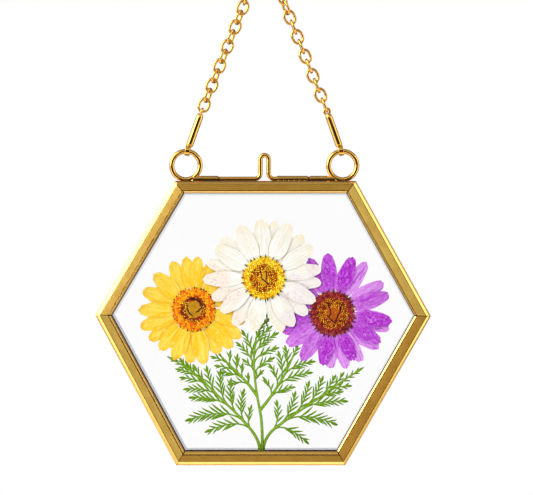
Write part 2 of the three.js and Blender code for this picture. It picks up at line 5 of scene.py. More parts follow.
import bpy
import numpy as np
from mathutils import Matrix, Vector


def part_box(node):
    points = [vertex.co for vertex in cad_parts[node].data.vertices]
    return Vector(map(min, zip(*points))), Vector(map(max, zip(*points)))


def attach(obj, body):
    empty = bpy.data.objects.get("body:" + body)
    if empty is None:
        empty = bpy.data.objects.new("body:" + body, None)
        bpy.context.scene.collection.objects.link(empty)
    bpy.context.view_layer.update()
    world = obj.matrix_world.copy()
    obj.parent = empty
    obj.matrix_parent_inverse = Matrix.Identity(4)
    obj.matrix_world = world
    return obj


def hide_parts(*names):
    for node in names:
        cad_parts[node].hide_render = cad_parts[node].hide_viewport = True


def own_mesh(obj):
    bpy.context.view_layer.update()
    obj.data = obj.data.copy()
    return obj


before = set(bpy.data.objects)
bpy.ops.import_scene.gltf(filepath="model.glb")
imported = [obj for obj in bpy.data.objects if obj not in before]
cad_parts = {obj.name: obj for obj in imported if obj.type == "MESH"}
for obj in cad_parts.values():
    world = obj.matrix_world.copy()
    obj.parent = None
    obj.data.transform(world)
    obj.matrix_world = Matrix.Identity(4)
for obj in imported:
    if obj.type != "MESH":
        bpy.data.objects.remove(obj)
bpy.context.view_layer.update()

METRES = 0.001
SEED = 7


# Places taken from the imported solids
def box_of(node):
    return np.array(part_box(node)) / METRES


def middle_of(node):
    return box_of(node).mean(axis=0)


TOP_EDGE = box_of("back_rail_top")[1][2]
BOTTOM_EDGE = box_of("back_rail_bottom")[0][2]
PARTING_Y = -0.15
PARTING_GAP = 0.3

# Hexagon frame
HALF_WIDTH = 75
CORNER_DROP = 60.5
CORNER_RISE = 66.5
SQRT3 = math.sqrt(3)
TOP_HALF = HALF_WIDTH - CORNER_DROP / SQRT3
BOTTOM_HALF = HALF_WIDTH - CORNER_RISE / SQRT3
FRAME_CORNERS = [  # the second term is how far each corner strays from an even hexagon
    (-TOP_HALF - 0.1, TOP_EDGE), (TOP_HALF + 0.8, TOP_EDGE),
    (HALF_WIDTH - 0.6, TOP_EDGE - CORNER_DROP + 0.1), (BOTTOM_HALF - 0.4, BOTTOM_EDGE),
    (-BOTTOM_HALF - 2.7, BOTTOM_EDGE), (-HALF_WIDTH - 0.6, TOP_EDGE - CORNER_DROP + 0.7),
]
FRONT, BACK = -1, 1
MITRE_GAP = 0.06
MITRE_EASE = 0.26  # the groove along a mitre: half its width, and its depth
LIP = 6.35  # frame edge to the inner edge of the lip
PARTING_CHAMFER = 1.0
HINGE_CHAMFER = 2.0
PANE_SEAM = 0.2

# Rail section as (u, d, rounding): u runs in from the outer edge, d out from the parting plane
RAIL_INSIDE = [(LIP, 2.7, 0.05), (2.2, 2.7, 0.05), (2.2, 0, 0.05)]
RAIL_FACE = [
    (0, 2.1, 0.25), (0.62, 2.88, 0.4), (1.38, 3.56, 0.1), (1.52, 3.5, 0.05), (1.64, 3.6, 0.08),
    (4.42, 3.6, 0.08), (4.54, 3.4, 0.04), (4.66, 3.4, 0.04), (4.78, 3.64, 0.1),
    (5.12, 3.62, 0.14), (5.3, 3.36, 0.06), (6.3, 2.93, 0.06),
]
RAIL_CORE = np.array((3.0, 2.9))
SATIN_BAND = (1.55, 4.5)
SATIN_DEPTH = 3.5
CREASES = (1.52, 4.6)
RAILS = {  # chamfer, face and full width; painted light on the face, 0 shaded to 1 lit; the frame's painted shadow on the pane beside it, wide and dark
    "top": ((1.5, 4.35, 5.5), 0.15, (0.9, 0.5)),
    "upper_right": ((1.9, 5.5, 6.3), 1.0, (0.9, 0.45)),
    "lower_right": ((1.7, 5.45, 6.45), 0.05, (0.6, 0.7)),
    "bottom": ((1.8, 4.45, 6.5), 0.15, (1.0, 1.0)),
    "lower_left": ((2.0, 5.05, 6.5), 0.85, (1.2, 0.95)),
    "upper_left": ((2.2, 5.2, 6.6), 0.7, (1.0, 0.5)),
}
RAIL_ORDER = list(RAILS)

# Hinge
HINGE_AXIS_RISE = 0.877
BARREL_RADIUS = 0.75
BARREL_BORE = 0.55
HINGE_PIN = 0.4
HINGE_LENGTH = 36
MIDDLE_KNUCKLE = 12
KNUCKLE_GAP = 0.3
WEB_HALF = 0.35
WEB_SPAN = (0.65, 1.2)

# Latch and rings on the top edge
TUBE_RADIUS = 1.35
TUBE_BORE = 1.15
TUBE_SPANS = {"left": (-31.8, -20.7), "middle": (5.7, 19.5), "right": (20.4, 31.6)}
TUBE_SEAMS = 6
SEAM_OUT = 1.25
SEAM_DROP = 0.75
LATCH_TIPS = (-23.7, 23.4)
LATCH_CENTRE = 0.1
LATCH_WIRE = 1.0
LATCH_LEG = 1.86
LATCH_FLARE = 2.4
LATCH_RISE = 8.75
RING_RADIUS = 6.35
RING_WIRE = 1.1

# Hanger
HANGER_RADIUS = 11.02
HANGER_WIRE = 1.1
HANGER_JOINT = 0.1  # how far the wire narrows where its ends meet
BAR_TILT = math.radians(19.6)
BAR_EYE_SPAN = 18.6
BAR_ROUNDS = [  # half width, half depth and height of the tube, from its flattened foot to its neck
    (1.25, 0.6, 1.95), (1.42, 0.95, 2.2), (1.52, 1.35, 2.6), (1.56, 1.52, 3.1), (1.57, 1.57, 4.0),
    (1.57, 1.57, 10.0), (1.57, 1.57, 15.6), (1.5, 1.5, 16.3), (1.32, 1.32, 16.9), (1.05, 1.05, 17.35),
    (0.7, 0.7, 17.6),
]
EYE_SEAT = math.radians(6)  # how far round its ring each strap eye sits
EYE_LIFT = 0.3
STRAP_RADIUS = 2.4
STRAP_BORE = 1.68
STRAP_WIDTH = 2.2
STRAP_TURN = math.radians(9)
UPPER_EYE_RADIUS = 1.35
UPPER_EYE_WIRE = 0.5
LINKS = 14
LINK_WIRE = 0.6
LINK_HALF_LENGTH = 3.05
LINK_HALF_WIDTH = 2.25
LINK_SQUARENESS = 0.92
TWIST_FREE_LINKS = 10
LINK_LEAN = math.radians(68)
CHAIN_TILT = math.radians(21.6)

# Pressed flowers: each petal is (angle, reach, width, layer, shade, bend). Layer 0 lies at the
# back, shade 1 is the darkest, and bend moves the tip sideways
FLOWERS = {
    "white": {
        "disc": 9.85, "back": -0.62, "step": 0.09, "foot": 0.42, "notch": 0.55,
        "petals": [
            (92, 26.6, 8.6, 2, 0.2, 0.3), (78, 26.1, 7.2, 0, 0.5, 0.2), (64, 27.1, 9.0, 3, 0.2, 0.4),
            (46, 26.2, 7.8, 1, 0.4, 0.3), (31, 26.3, 8.0, 2, 0.3, 0.6), (8.5, 26.2, 7.4, 1, 0.4, 0.2),
            (-4.5, 25.8, 6.9, 0, 0.5, -0.3), (-23, 25.5, 8.4, 3, 0.2, -0.5),
            (-39, 25.6, 7.6, 1, 0.4, -0.4), (-59, 25.4, 8.4, 2, 0.3, 0.2),
            (-71, 25.4, 7.6, 0, 0.5, 0.0), (-102, 24.5, 8.4, 2, 0.2, 0.5),
            (-123, 25.4, 7.2, 0, 0.4, 0.2), (-142.5, 24.6, 7.8, 3, 0.2, 0.3),
            (-159.5, 25.2, 7.6, 1, 0.3, 0.4), (181.5, 27.3, 7.4, 2, 0.3, 0.0),
            (165, 26.6, 6.8, 0, 0.5, -0.2), (149, 25.9, 9.0, 3, 0.2, -0.6),
            (137, 26.2, 7.4, 1, 0.4, -0.2), (116.5, 26.2, 9.2, 3, 0.2, -0.5),
        ],
    },
    "yellow": {
        "disc": 9.9, "back": -0.03, "step": 0.075, "foot": 0.5, "notch": 0.85,
        "petals": [
            (98, 24.0, 7.0, 1, 0.4, 0.1), (85, 23.9, 6.8, 2, 0.3, 0.1), (115, 23.7, 8.0, 0, 0.4, -0.2),
            (139, 24.1, 8.4, 2, 0.2, -0.4), (159.5, 24.6, 8.0, 0, 0.4, 0.0), (180.5, 24.9, 7.6, 2, 0.3, 0.1),
            (198, 25.3, 7.6, 1, 0.3, 0.2), (214, 24.3, 7.2, 0, 0.5, 0.2), (229, 23.9, 7.6, 2, 0.3, 0.4),
            (247.5, 24.3, 7.9, 3, 0.2, 0.5), (265.5, 24.4, 7.6, 1, 0.3, 0.2), (281, 25.1, 8.0, 2, 0.2, -0.1),
            (301, 23.2, 8.2, 0, 0.4, -0.2), (316, 24.6, 8.0, 1, 0.4, -0.2), (330, 24.8, 8.0, 0, 0.5, 0.0),
            (347, 24.0, 7.6, 2, 0.4, 0.0), (20, 24.0, 7.6, 0, 0.4, 0.0), (48, 23.6, 7.6, 2, 0.4, 0.0),
            (68, 23.3, 7.4, 0, 0.5, 0.0),
        ],
    },
    "purple": {
        "disc": 10.2, "back": -0.03, "step": 0.075, "foot": 0.4, "notch": 0.95,
        "petals": [
            (95, 27.1, 7.6, 2, 0.85, -0.1), (71, 27.1, 7.6, 2, 1.0, -0.3), (57, 27.7, 6.9, 0, 0.1, -0.2),
            (32, 26.9, 7.2, 0, 0.15, -0.3), (19, 27.0, 7.6, 2, 0.55, -0.2), (-8, 26.9, 7.8, 3, 0.95, 0.2),
            (-15.5, 26.6, 6.6, 0, 0.1, 0.2), (-31, 25.3, 6.8, 2, 0.75, 0.1), (-37.5, 26.0, 7.6, 0, 0.2, 0.1),
            (-59, 25.4, 6.4, 0, 0.05, 0.1), (-66, 23.4, 6.8, 2, 0.95, 0.1), (-76, 25.6, 6.6, 1, 0.1, 0.1),
            (-92, 24.9, 6.6, 0, 0.05, -0.1), (-100, 24.0, 7.6, 3, 0.95, -0.1),
            (-124, 25.3, 7.4, 1, 0.45, 0.1), (-146, 25.1, 8.2, 2, 0.35, 0.2),
            (-160, 24.0, 6.8, 0, 0.75, 0.2), (-176, 24.0, 6.8, 1, 0.8, 0.0), (160, 25.0, 7.0, 2, 0.8, 0.0),
            (138, 26.0, 7.0, 0, 0.8, 0.0), (113, 27.0, 7.2, 1, 0.85, 0.0),
        ],
    },
}

# Leaves: stems as points (X, height above the bottom edge) from foot to tip, and each leaflet as
# the share of the stem where it leaves, then its tip
LEAF_FRONTS = {"left": 0.15, "centre": 0.4, "right": 0.65}
FRONDS = {
    "left": [
        {
            "stem": [
                (-2.1, 4.6), (-2.4, 9.2), (-4.9, 14.3), (-10.8, 21.2), (-18.7, 29.0), (-27.5, 37.5),
                (-35.0, 43.5), (-42.2, 47.8),
            ],
            "leaflets": [
                (0.22, -26.9, 14.4), (0.23, -5.5, 27.1), (0.31, -35.7, 19.5), (0.3, -8.8, 34.4),
                (0.4, -14.8, 39.1), (0.49, -34.2, 30.0), (0.51, -19.5, 43.2), (0.61, -36.6, 33.7),
                (0.62, -25.9, 44.7), (0.71, -38.3, 39.1), (0.72, -31.9, 45.1), (0.8, -40.1, 43.0),
                (0.81, -35.3, 46.3), (0.9, -38.2, 48.3),
            ],
        },
    ],
    "centre": [
        {
            "stem": [
                (-1.1, 4.6), (-0.9, 11.4), (-1.4, 20.8), (-3.3, 31.5), (-4.5, 42.0), (-4.5, 50.0),
                (-3.6, 56.8), (-1.0, 62.2), (2.0, 65.2),
            ],
            "leaflets": [
                (0.59, 0.1, 42.6), (0.63, 5.1, 48.2), (0.71, 7.0, 52.5), (0.76, 6.8, 59.3),
                (0.82, 3.8, 62.3), (0.65, -10.2, 47.6), (0.69, -12.9, 55.1), (0.74, -10.3, 60.7),
            ],
        },
        {
            "stem": [(-3.2, 30.8), (-6.8, 35.6), (-11.5, 40.7), (-17.8, 46.9), (-23.4, 52.7)],
            "leaflets": [
                (0.22, -16.8, 35.6), (0.2, -7.2, 41.6), (0.35, -21.2, 41.3), (0.36, -9.6, 46.0),
                (0.5, -22.8, 44.4), (0.48, -11.8, 50.0), (0.68, -24.4, 48.6), (0.64, -15.0, 51.6),
            ],
        },
        {
            "stem": [(-1.7, 24.6), (2.3, 29.7), (6.6, 36.1), (10.0, 42.2), (14.9, 53.2)],
            "leaflets": [
                (0.22, 14.2, 34.8), (0.24, -0.9, 39.6), (0.42, 22.0, 41.3), (0.4, 1.8, 45.6),
                (0.62, 23.2, 46.3), (0.5, 6.1, 51.2), (0.66, 9.1, 53.7),
            ],
        },
    ],
    "right": [
        {
            "stem": [
                (-0.1, 4.6), (-0.2, 8.8), (2.7, 14.3), (9.1, 19.5), (17.2, 25.0), (24.9, 30.2),
                (34.4, 37.0), (43.4, 42.9),
            ],
            "leaflets": [
                (0.23, 20.2, 9.0), (0.22, 5.5, 29.3), (0.3, 14.1, 33.2), (0.35, 33.1, 17.6),
                (0.44, 20.2, 37.9), (0.53, 37.8, 28.3), (0.55, 26.5, 40.0), (0.68, 35.7, 32.7),
                (0.68, 32.2, 40.5), (0.77, 39.5, 35.3), (0.77, 35.9, 41.7),
            ],
        },
    ],
}

rng = np.random.default_rng(SEED)


# Mesh making
class Shape:
    """Collects the points and faces of one piece, with values that vary over it."""

    def __init__(self):
        self.points, self.faces, self.finishes, self.marks = [], [], [], []
        self.count = 0

    def add(self, points, faces, finish=0, **marks):
        points = np.asarray(points, float).reshape(-1, 3)
        self.points.append(points)
        self.faces.extend(tuple(int(i) + self.count for i in face) for face in faces)
        self.finishes.extend(np.broadcast_to(finish, (len(faces),)))
        self.marks.append((len(points), marks))
        self.count += len(points)

    def mark_values(self, name):
        return np.concatenate([
            np.broadcast_to(np.ravel(marks.get(name, 0.0)), (count,)) for count, marks in self.marks
        ]).astype(np.float32)

    def make(
        self, name, body, finishes, replaces=(), smooth=60, slot="polished_brass", grain=False,
    ):
        mesh = bpy.data.meshes.new(name)
        mesh.from_pydata((np.concatenate(self.points) * METRES).tolist(), [], self.faces)
        for finish in finishes:
            mesh.materials.append(finish)
        mesh.polygons.foreach_set("material_index", np.array(self.finishes, np.int32))
        names = {key for _, marks in self.marks for key in marks}
        for mark in sorted(names - {"colour"}):
            layer = mesh.attributes.new(mark, "FLOAT", "POINT")
            layer.data.foreach_set("value", self.mark_values(mark))
        if "colour" in names:
            colours = [np.broadcast_to(marks["colour"], (count, 3)) for count, marks in self.marks]
            colours = np.insert(np.concatenate(colours), 3, 1, axis=1).astype(np.float32)
            layer = mesh.color_attributes.new("colour", "FLOAT_COLOR", "POINT")
            layer.data.foreach_set("color", colours.ravel())
        mesh.update()
        if grain:
            self.lay_grain(mesh)
        mesh.shade_smooth()
        mesh.set_sharp_from_angle(angle=math.radians(smooth))
        piece = bpy.data.objects.new(name, mesh)
        bpy.context.scene.collection.objects.link(piece)
        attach(piece, body)
        if replaces:
            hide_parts(*replaces)
        return piece

    def lay_grain(self, mesh):
        """A map whose first direction runs across the brush marks."""
        corners = np.zeros(len(mesh.loops), np.int32)
        mesh.loops.foreach_get("vertex_index", corners)
        values = [self.mark_values(name)[corners] / 100 for name in ("across", "along")]
        mesh.uv_layers.new(name="grain").data.foreach_set("uv", np.stack(values, 1).ravel())


def grid_faces(rows, columns, around=False, along=False):
    """Quads of a grid, closed round its columns or from its last row to its first."""
    faces = []
    for i in range(rows if along else rows - 1):
        for j in range(columns if around else columns - 1):
            a, b = i * columns + j, i * columns + (j + 1) % columns
            c, d = ((i + 1) % rows) * columns + (j + 1) % columns, ((i + 1) % rows) * columns + j
            faces.append((a, b, c, d))
    return faces


def capped_tube_faces(rows, columns):
    caps = [tuple(reversed(range(columns))), tuple((rows - 1) * columns + j for j in range(columns))]
    return grid_faces(rows, columns, around=True) + caps


def turned(points, angle):
    """Points turned about Y, so that local +Z leans towards +X."""
    c, s = math.cos(angle), math.sin(angle)
    x, y, z = np.asarray(points, float).reshape(-1, 3).T
    return np.stack([x * c + z * s, y, -x * s + z * c], 1)


def circle(sides, start=0.0):
    angles = start + np.arange(sides) * 2 * math.pi / sides
    return np.cos(angles), np.sin(angles)


def upright_ring(radius, sides, start=0.0):
    """Points round a ring that faces the front."""
    c, s = circle(sides, start)
    return np.stack([radius * c, np.zeros(sides), radius * s], 1)


def sweep(path, radius, sides=14, closed=False):
    """A round rod along path, with a smooth frame carried from point to point."""
    path = np.asarray(path, float)
    ahead = np.roll(path, -1, 0) - np.roll(path, 1, 0)
    if not closed:
        ahead[0], ahead[-1] = path[1] - path[0], path[-1] - path[-2]
    ahead /= np.linalg.norm(ahead, axis=1)[:, None]
    side = np.cross(ahead[0], (0, 1, 0))
    if np.linalg.norm(side) < 0.1:
        side = np.cross(ahead[0], (0, 0, 1))
    c, s = circle(sides)
    points = []
    for place, direction, r in zip(path, ahead, np.broadcast_to(radius, (len(path),))):
        side = side - direction * (side @ direction)
        side /= np.linalg.norm(side)
        up = np.cross(direction, side)
        points.append(place + r * (c[:, None] * side + s[:, None] * up))
    faces = grid_faces(len(path), sides, True, True) if closed else capped_tube_faces(len(path), sides)
    return np.concatenate(points), faces


def with_round_ends(path, radius, ease):
    """Path and radii of a rod whose ends are eased by a small rounding."""
    path = np.asarray(path, float)
    start, end = path[0], path[-1]
    first = (path[1] - start) / np.linalg.norm(path[1] - start)
    last = (path[-2] - end) / np.linalg.norm(path[-2] - end)
    turns = np.array((0.0, 0.3, 0.65)) * math.pi / 2
    steps = ease * (1 - np.cos(turns))[:, None]
    small = radius - ease + ease * np.sin(turns)
    body = [start + first * ease, *path[1:-1], end + last * ease]
    radii = np.concatenate([small, np.full(len(body), radius), small[::-1]])
    return np.concatenate([start + first * steps, body, end + last * steps[::-1]]), radii


def with_steps(path, radii, spacing):
    """The same rod with more rings along its straight stretches."""
    new_path, new_radii = [path[:1]], [radii[:1]]
    for i in range(len(path) - 1):
        steps = max(1, int(np.linalg.norm(path[i + 1] - path[i]) / spacing))
        t = np.arange(1, steps + 1)[:, None] / steps
        new_path.append(path[i] + t * (path[i + 1] - path[i]))
        new_radii.append(radii[i] + t[:, 0] * (radii[i + 1] - radii[i]))
    return np.concatenate(new_path), np.concatenate(new_radii)


def arc(x, z, radius, start, end, steps):
    angles = np.radians(np.linspace(start, end, steps + 1))
    return [(x + radius * math.cos(a), 0.0, z + radius * math.sin(a)) for a in angles]


def lathe(profile, sides, closed=True):
    """Profile points (radius, height) turned about Z."""
    c, s = circle(sides)
    points = np.concatenate([np.stack([r * c, r * s, np.full(sides, h)], 1) for r, h in profile])
    return points, grid_faces(len(profile), sides, around=True, along=closed)


def rounded_outline(corners, arc_steps=4):
    """A closed outline whose corners (u, d, radius) are rounded by arcs."""
    outline = []
    total = len(corners)
    for i, (u, d, radius) in enumerate(corners):
        here = np.array((u, d))
        before = np.array(corners[i - 1][:2]) - here
        after = np.array(corners[(i + 1) % total][:2]) - here
        lengths = np.linalg.norm(before), np.linalg.norm(after)
        before, after = before / lengths[0], after / lengths[1]
        opening = math.acos(np.clip(before @ after, -1, 1))
        cut = min(radius / math.tan(opening / 2), 0.45 * lengths[0], 0.45 * lengths[1])
        start, end = here + before * cut, here + after * cut
        for t in np.arange(arc_steps + 1) / arc_steps:
            outline.append((1 - t) ** 2 * start + 2 * t * (1 - t) * here + t * t * end)
    return np.array(outline)


def sleeve(outer, bore, length, sides, ease=0.12):
    """A tube with eased ends, laid along X."""
    half = length / 2
    corners = [(bore, -half, ease / 2), (outer, -half, ease), (outer, half, ease), (bore, half, ease / 2)]
    points, faces = lathe(rounded_outline(corners, 3), sides)
    x, y, z = points.T
    return np.stack([z, y, -x], 1), faces


# Materials
class Nodes:
    """A node tree, with a short method for each kind of node that it holds."""

    def __init__(self, tree):
        self.tree = tree

    def put(self, socket, value):
        if isinstance(value, bpy.types.NodeSocket):
            self.tree.links.new(value, socket)
        else:
            socket.default_value = value

    def add(self, kind, inputs=None, **settings):
        node = self.tree.nodes.new(kind)
        for name, value in settings.items():
            setattr(node, name, value)
        for key, value in (inputs or {}).items():
            self.put(node.inputs[key], value)
        return node

    def maths(self, operation, *values):
        return self.add("ShaderNodeMath", dict(enumerate(values)), operation=operation).outputs[0]

    def plus(self, a, b):
        return self.maths("ADD", a, b)

    def times(self, a, b):
        return self.maths("MULTIPLY", a, b)

    def dot(self, a, b):
        return self.add("ShaderNodeVectorMath", {0: a, 1: b}, operation="DOT_PRODUCT").outputs["Value"]

    def vector(self, x, y, z):
        return self.add("ShaderNodeCombineXYZ", {0: x, 1: y, 2: z}).outputs[0]

    def split(self, vector):
        return self.add("ShaderNodeSeparateXYZ", {0: vector}).outputs

    def remap(self, value, low, high, new_low=0.0, new_high=1.0):
        inputs = {
            "Value": value, "From Min": low, "From Max": high, "To Min": new_low, "To Max": new_high,
        }
        return self.add("ShaderNodeMapRange", inputs, interpolation_type="SMOOTHSTEP").outputs[0]

    def blend(self, factor, a, b, way="MIX"):
        inputs = {0: factor, 6: a, 7: b}
        return self.add("ShaderNodeMix", inputs, data_type="RGBA", blend_type=way).outputs[2]

    def noise(self, vector, scale, detail=2.0, roughness=0.5, distortion=0.0):
        return self.add("ShaderNodeTexNoise", {
            "Vector": vector, "Scale": scale, "Detail": detail, "Roughness": roughness,
            "Distortion": distortion,
        }).outputs["Fac"]

    def mark(self, name):
        return self.add("ShaderNodeAttribute", attribute_name=name).outputs["Fac"]

    def place_in_mm(self):
        place = self.add("ShaderNodeTexCoord").outputs["Object"]
        inputs = {0: place, "Scale": 1 / METRES}
        return self.add("ShaderNodeVectorMath", inputs, operation="SCALE").outputs[0]

    def use(self, group, inputs):
        return self.add("ShaderNodeGroup", inputs, node_tree=group).outputs


def srgb(red, green, blue):
    """A colour as screens show it, from 0 to 255, as the linear value that a socket takes."""
    def linear(value):
        value /= 255
        return value / 12.92 if value <= 0.04045 else ((value + 0.055) / 1.055) ** 2.4
    return (linear(red), linear(green), linear(blue), 1.0)


def palette(*colours):
    return [srgb(*colour)[:3] for colour in colours]


def new_group(name, inputs, outputs):
    """A node group; an input with no default is a vector."""
    tree = bpy.data.node_groups.new(name, "ShaderNodeTree")
    for label, default in inputs.items():
        kind = "NodeSocketVector" if default is None else "NodeSocketFloat"
        socket = tree.interface.new_socket(label, in_out="INPUT", socket_type=kind)
        if default is not None:
            socket.default_value = default
    for label in outputs:
        tree.interface.new_socket(label, in_out="OUTPUT", socket_type="NodeSocketFloat")
    given, out = tree.nodes.new("NodeGroupInput"), tree.nodes.new("NodeGroupOutput")
    return Nodes(tree), given.outputs, out.inputs


def metal_grain():
    """Fine lines along the metal and faint smudges, as a roughness, a height and a tone."""
    nodes, given, out = new_group(
        "metal grain",
        {"Along": 0.0, "Across": 0.0, "Seed": 0.0, "Fineness": 6.0, "Roughness": 0.3, "Spread": 0.1},
        ["Roughness", "Height", "Tone"],
    )
    along, across, seed = given["Along"], given["Across"], given["Seed"]
    fine = nodes.vector(nodes.times(along, 0.35), nodes.times(across, given["Fineness"]), seed)
    lines = nodes.noise(fine, 1.0, 3.0, 0.7)
    both = nodes.plus(lines, nodes.noise(nodes.vector(along, across, seed), 0.16))
    swing = nodes.times(nodes.plus(both, -1.0), given["Spread"])
    nodes.put(out["Roughness"], nodes.plus(swing, given["Roughness"]))
    nodes.put(out["Height"], lines)
    nodes.put(out["Tone"], nodes.times(both, 0.5))
    return nodes.tree


def plant_surface():
    """Lengthwise veins and soft mottling of a pressed petal or leaf."""
    nodes, given, out = new_group(
        "plant surface",
        {"Along": 0.0, "Across": 0.0, "Seed": 0.0, "Veins": 9.0, "Place": None, "Mottle Scale": 0.6},
        ["Vein", "Mottle", "Height"],
    )
    across = nodes.times(given["Across"], given["Veins"])
    lengthwise = nodes.vector(nodes.times(given["Along"], 2.2), across, given["Seed"])
    vein = nodes.noise(lengthwise, 1.0, 3.0, 0.6, 0.4)
    mottle = nodes.noise(given["Place"], given["Mottle Scale"], 4.0, 0.62, 0.6)
    nodes.put(out["Vein"], nodes.remap(vein, 0.25, 0.75))
    nodes.put(out["Mottle"], nodes.remap(mottle, 0.3, 0.7))
    nodes.put(out["Height"], nodes.plus(nodes.times(vein, 0.6), nodes.times(mottle, 0.4)))
    return nodes.tree


def overlap():
    """Where a sheet lies on others and where others lie on it, from signed distances in millimetres."""
    nodes, given, out = new_group(
        "overlap", {"Below": -9.0, "Above": -9.0, "Across": 0.0}, ["Doubled", "Shadow", "Edge Line"],
    )
    doubled = nodes.remap(given["Below"], -0.12, 0.12)
    rim = nodes.remap(nodes.maths("ABSOLUTE", given["Across"]), 0.93, 0.99)
    nodes.put(out["Doubled"], doubled)
    nodes.put(out["Shadow"], nodes.remap(given["Above"], -0.7, 0.1))
    nodes.put(out["Edge Line"], nodes.times(rim, doubled))
    return nodes.tree


METAL_GRAIN = metal_grain()
PLANT_SURFACE = plant_surface()
OVERLAP = overlap()
# The brown of the painted shade in creases, grooves and under the tubes.
SHADE_BROWN = (84, 44, 6)
# The grey of the frame's painted shadow on the glass.
FRAME_SHADOW_TINT = srgb(222, 222, 226)


class Finish(Nodes):
    """A material, painted in layers from its ground colour up."""

    def __init__(self, name):
        self.material = bpy.data.materials.new(name)
        self.material.use_nodes = True
        super().__init__(self.material.node_tree)
        self.shader = next(node for node in self.tree.nodes if node.type == "BSDF_PRINCIPLED")

    def over(self, mask, colour, way="MIX"):
        self.colour = self.blend(mask, self.colour, srgb(*colour), way)

    def done(self, inputs, height=None, relief=0.0):
        """The material with its colour, these inputs and a relief in millimetres."""
        for name, value in {"Base Color": self.colour, **inputs}.items():
            self.put(self.shader.inputs[name], value)
        if relief:
            bump = self.add("ShaderNodeBump", {"Strength": 1.0, "Height": height})
            bump.inputs["Distance"].default_value = relief * METRES
            self.put(self.shader.inputs["Normal"], bump.outputs[0])
        return self.material


def brass(name, light, dark, roughness, fineness):
    """Polished gold-coloured brass with a faint grain, darkened by painted shade where it is marked."""
    finish = Finish(name)
    x, y, z = finish.split(finish.place_in_mm())
    grain = finish.use(METAL_GRAIN, {
        "Along": z, "Across": x, "Seed": y, "Fineness": fineness, "Roughness": roughness, "Spread": 0.05,
    })
    finish.colour = finish.blend(finish.remap(grain["Tone"], 0.3, 0.7), srgb(*dark), srgb(*light))
    # Painted shade where the mark says so.
    finish.over(finish.mark("tarnish"), SHADE_BROWN)
    return finish.done({
        "Roughness": grain["Roughness"], "Metallic": 1.0, "Coat Weight": 1.0, "Coat Roughness": 0.12,
    })


def brushed_brass(name, light, dark):
    """Brass brushed lengthwise: reflections draw out across the brush marks."""
    finish = Finish(name)
    grain = finish.use(METAL_GRAIN, {
        "Along": finish.mark("along"), "Across": finish.mark("across"), "Seed": finish.mark("seed"),
        "Fineness": 9.0, "Roughness": 0.5, "Spread": 0.14,
    })
    # Painted light: each rail's face is mixed from a lit and a shaded brass, by how the light falls on its
    # side.
    finish.colour = finish.blend(finish.mark("tone"), srgb(*dark), srgb(*light))
    finish.over(finish.remap(grain["Tone"], 0.35, 0.7, 0.3, 0.0), dark, "MULTIPLY")
    # Painted shade where the mark says so.
    finish.over(finish.mark("tarnish"), SHADE_BROWN)
    tangent = finish.add("ShaderNodeTangent", direction_type="UV_MAP", uv_map="grain").outputs[0]
    inputs = {"Roughness": grain["Roughness"], "Metallic": 0.6, "Anisotropic": 0.8, "Tangent": tangent}
    return finish.done(inputs, grain["Height"], 0.008)


def clear_glass():
    """Float glass, with the frame's shadow painted on it as a pale grey band just inside the lip."""
    finish = Finish("clear_glass")
    place = finish.place_in_mm()
    # Painted shadow of the frame: a grey band inside each rail, as wide and as dark as RAILS lists.
    band = 0.0
    for i, (widths, _, (width, strength)) in enumerate(RAILS.values()):
        (x, z), (next_x, next_z) = FRAME_CORNERS[i], FRAME_CORNERS[(i + 1) % 6]
        length = math.hypot(next_x - x, next_z - z)
        normal = ((next_z - z) / length, 0.0, -(next_x - x) / length)
        inset = finish.plus(finish.dot(place, normal), -x * normal[0] - z * normal[2])
        reach = widths[2] + width
        own = finish.remap(inset, reach - 0.15, reach + 0.15, strength, 0.0)
        band = finish.maths("MAXIMUM", own, band)
    finish.colour = finish.blend(band, (1, 1, 1, 1), FRAME_SHADOW_TINT)
    smear = finish.remap(finish.noise(place, 0.05, 3.0), 0.3, 0.8, 0.0, 0.02)
    material = finish.done({"Roughness": smear, "Transmission Weight": 1.0, "IOR": 1.45})
    clear = finish.add("ShaderNodeBsdfTransparent").outputs[0]
    path = finish.add("ShaderNodeLightPath").outputs
    lit = finish.maths("MAXIMUM", path["Is Shadow Ray"], path["Is Diffuse Ray"])
    either = finish.add("ShaderNodeMixShader", {0: lit, 1: finish.shader.outputs[0], 2: clear})
    output = next(node for node in finish.tree.nodes if node.type == "OUTPUT_MATERIAL")
    finish.put(output.inputs["Surface"], either.outputs[0])
    return material


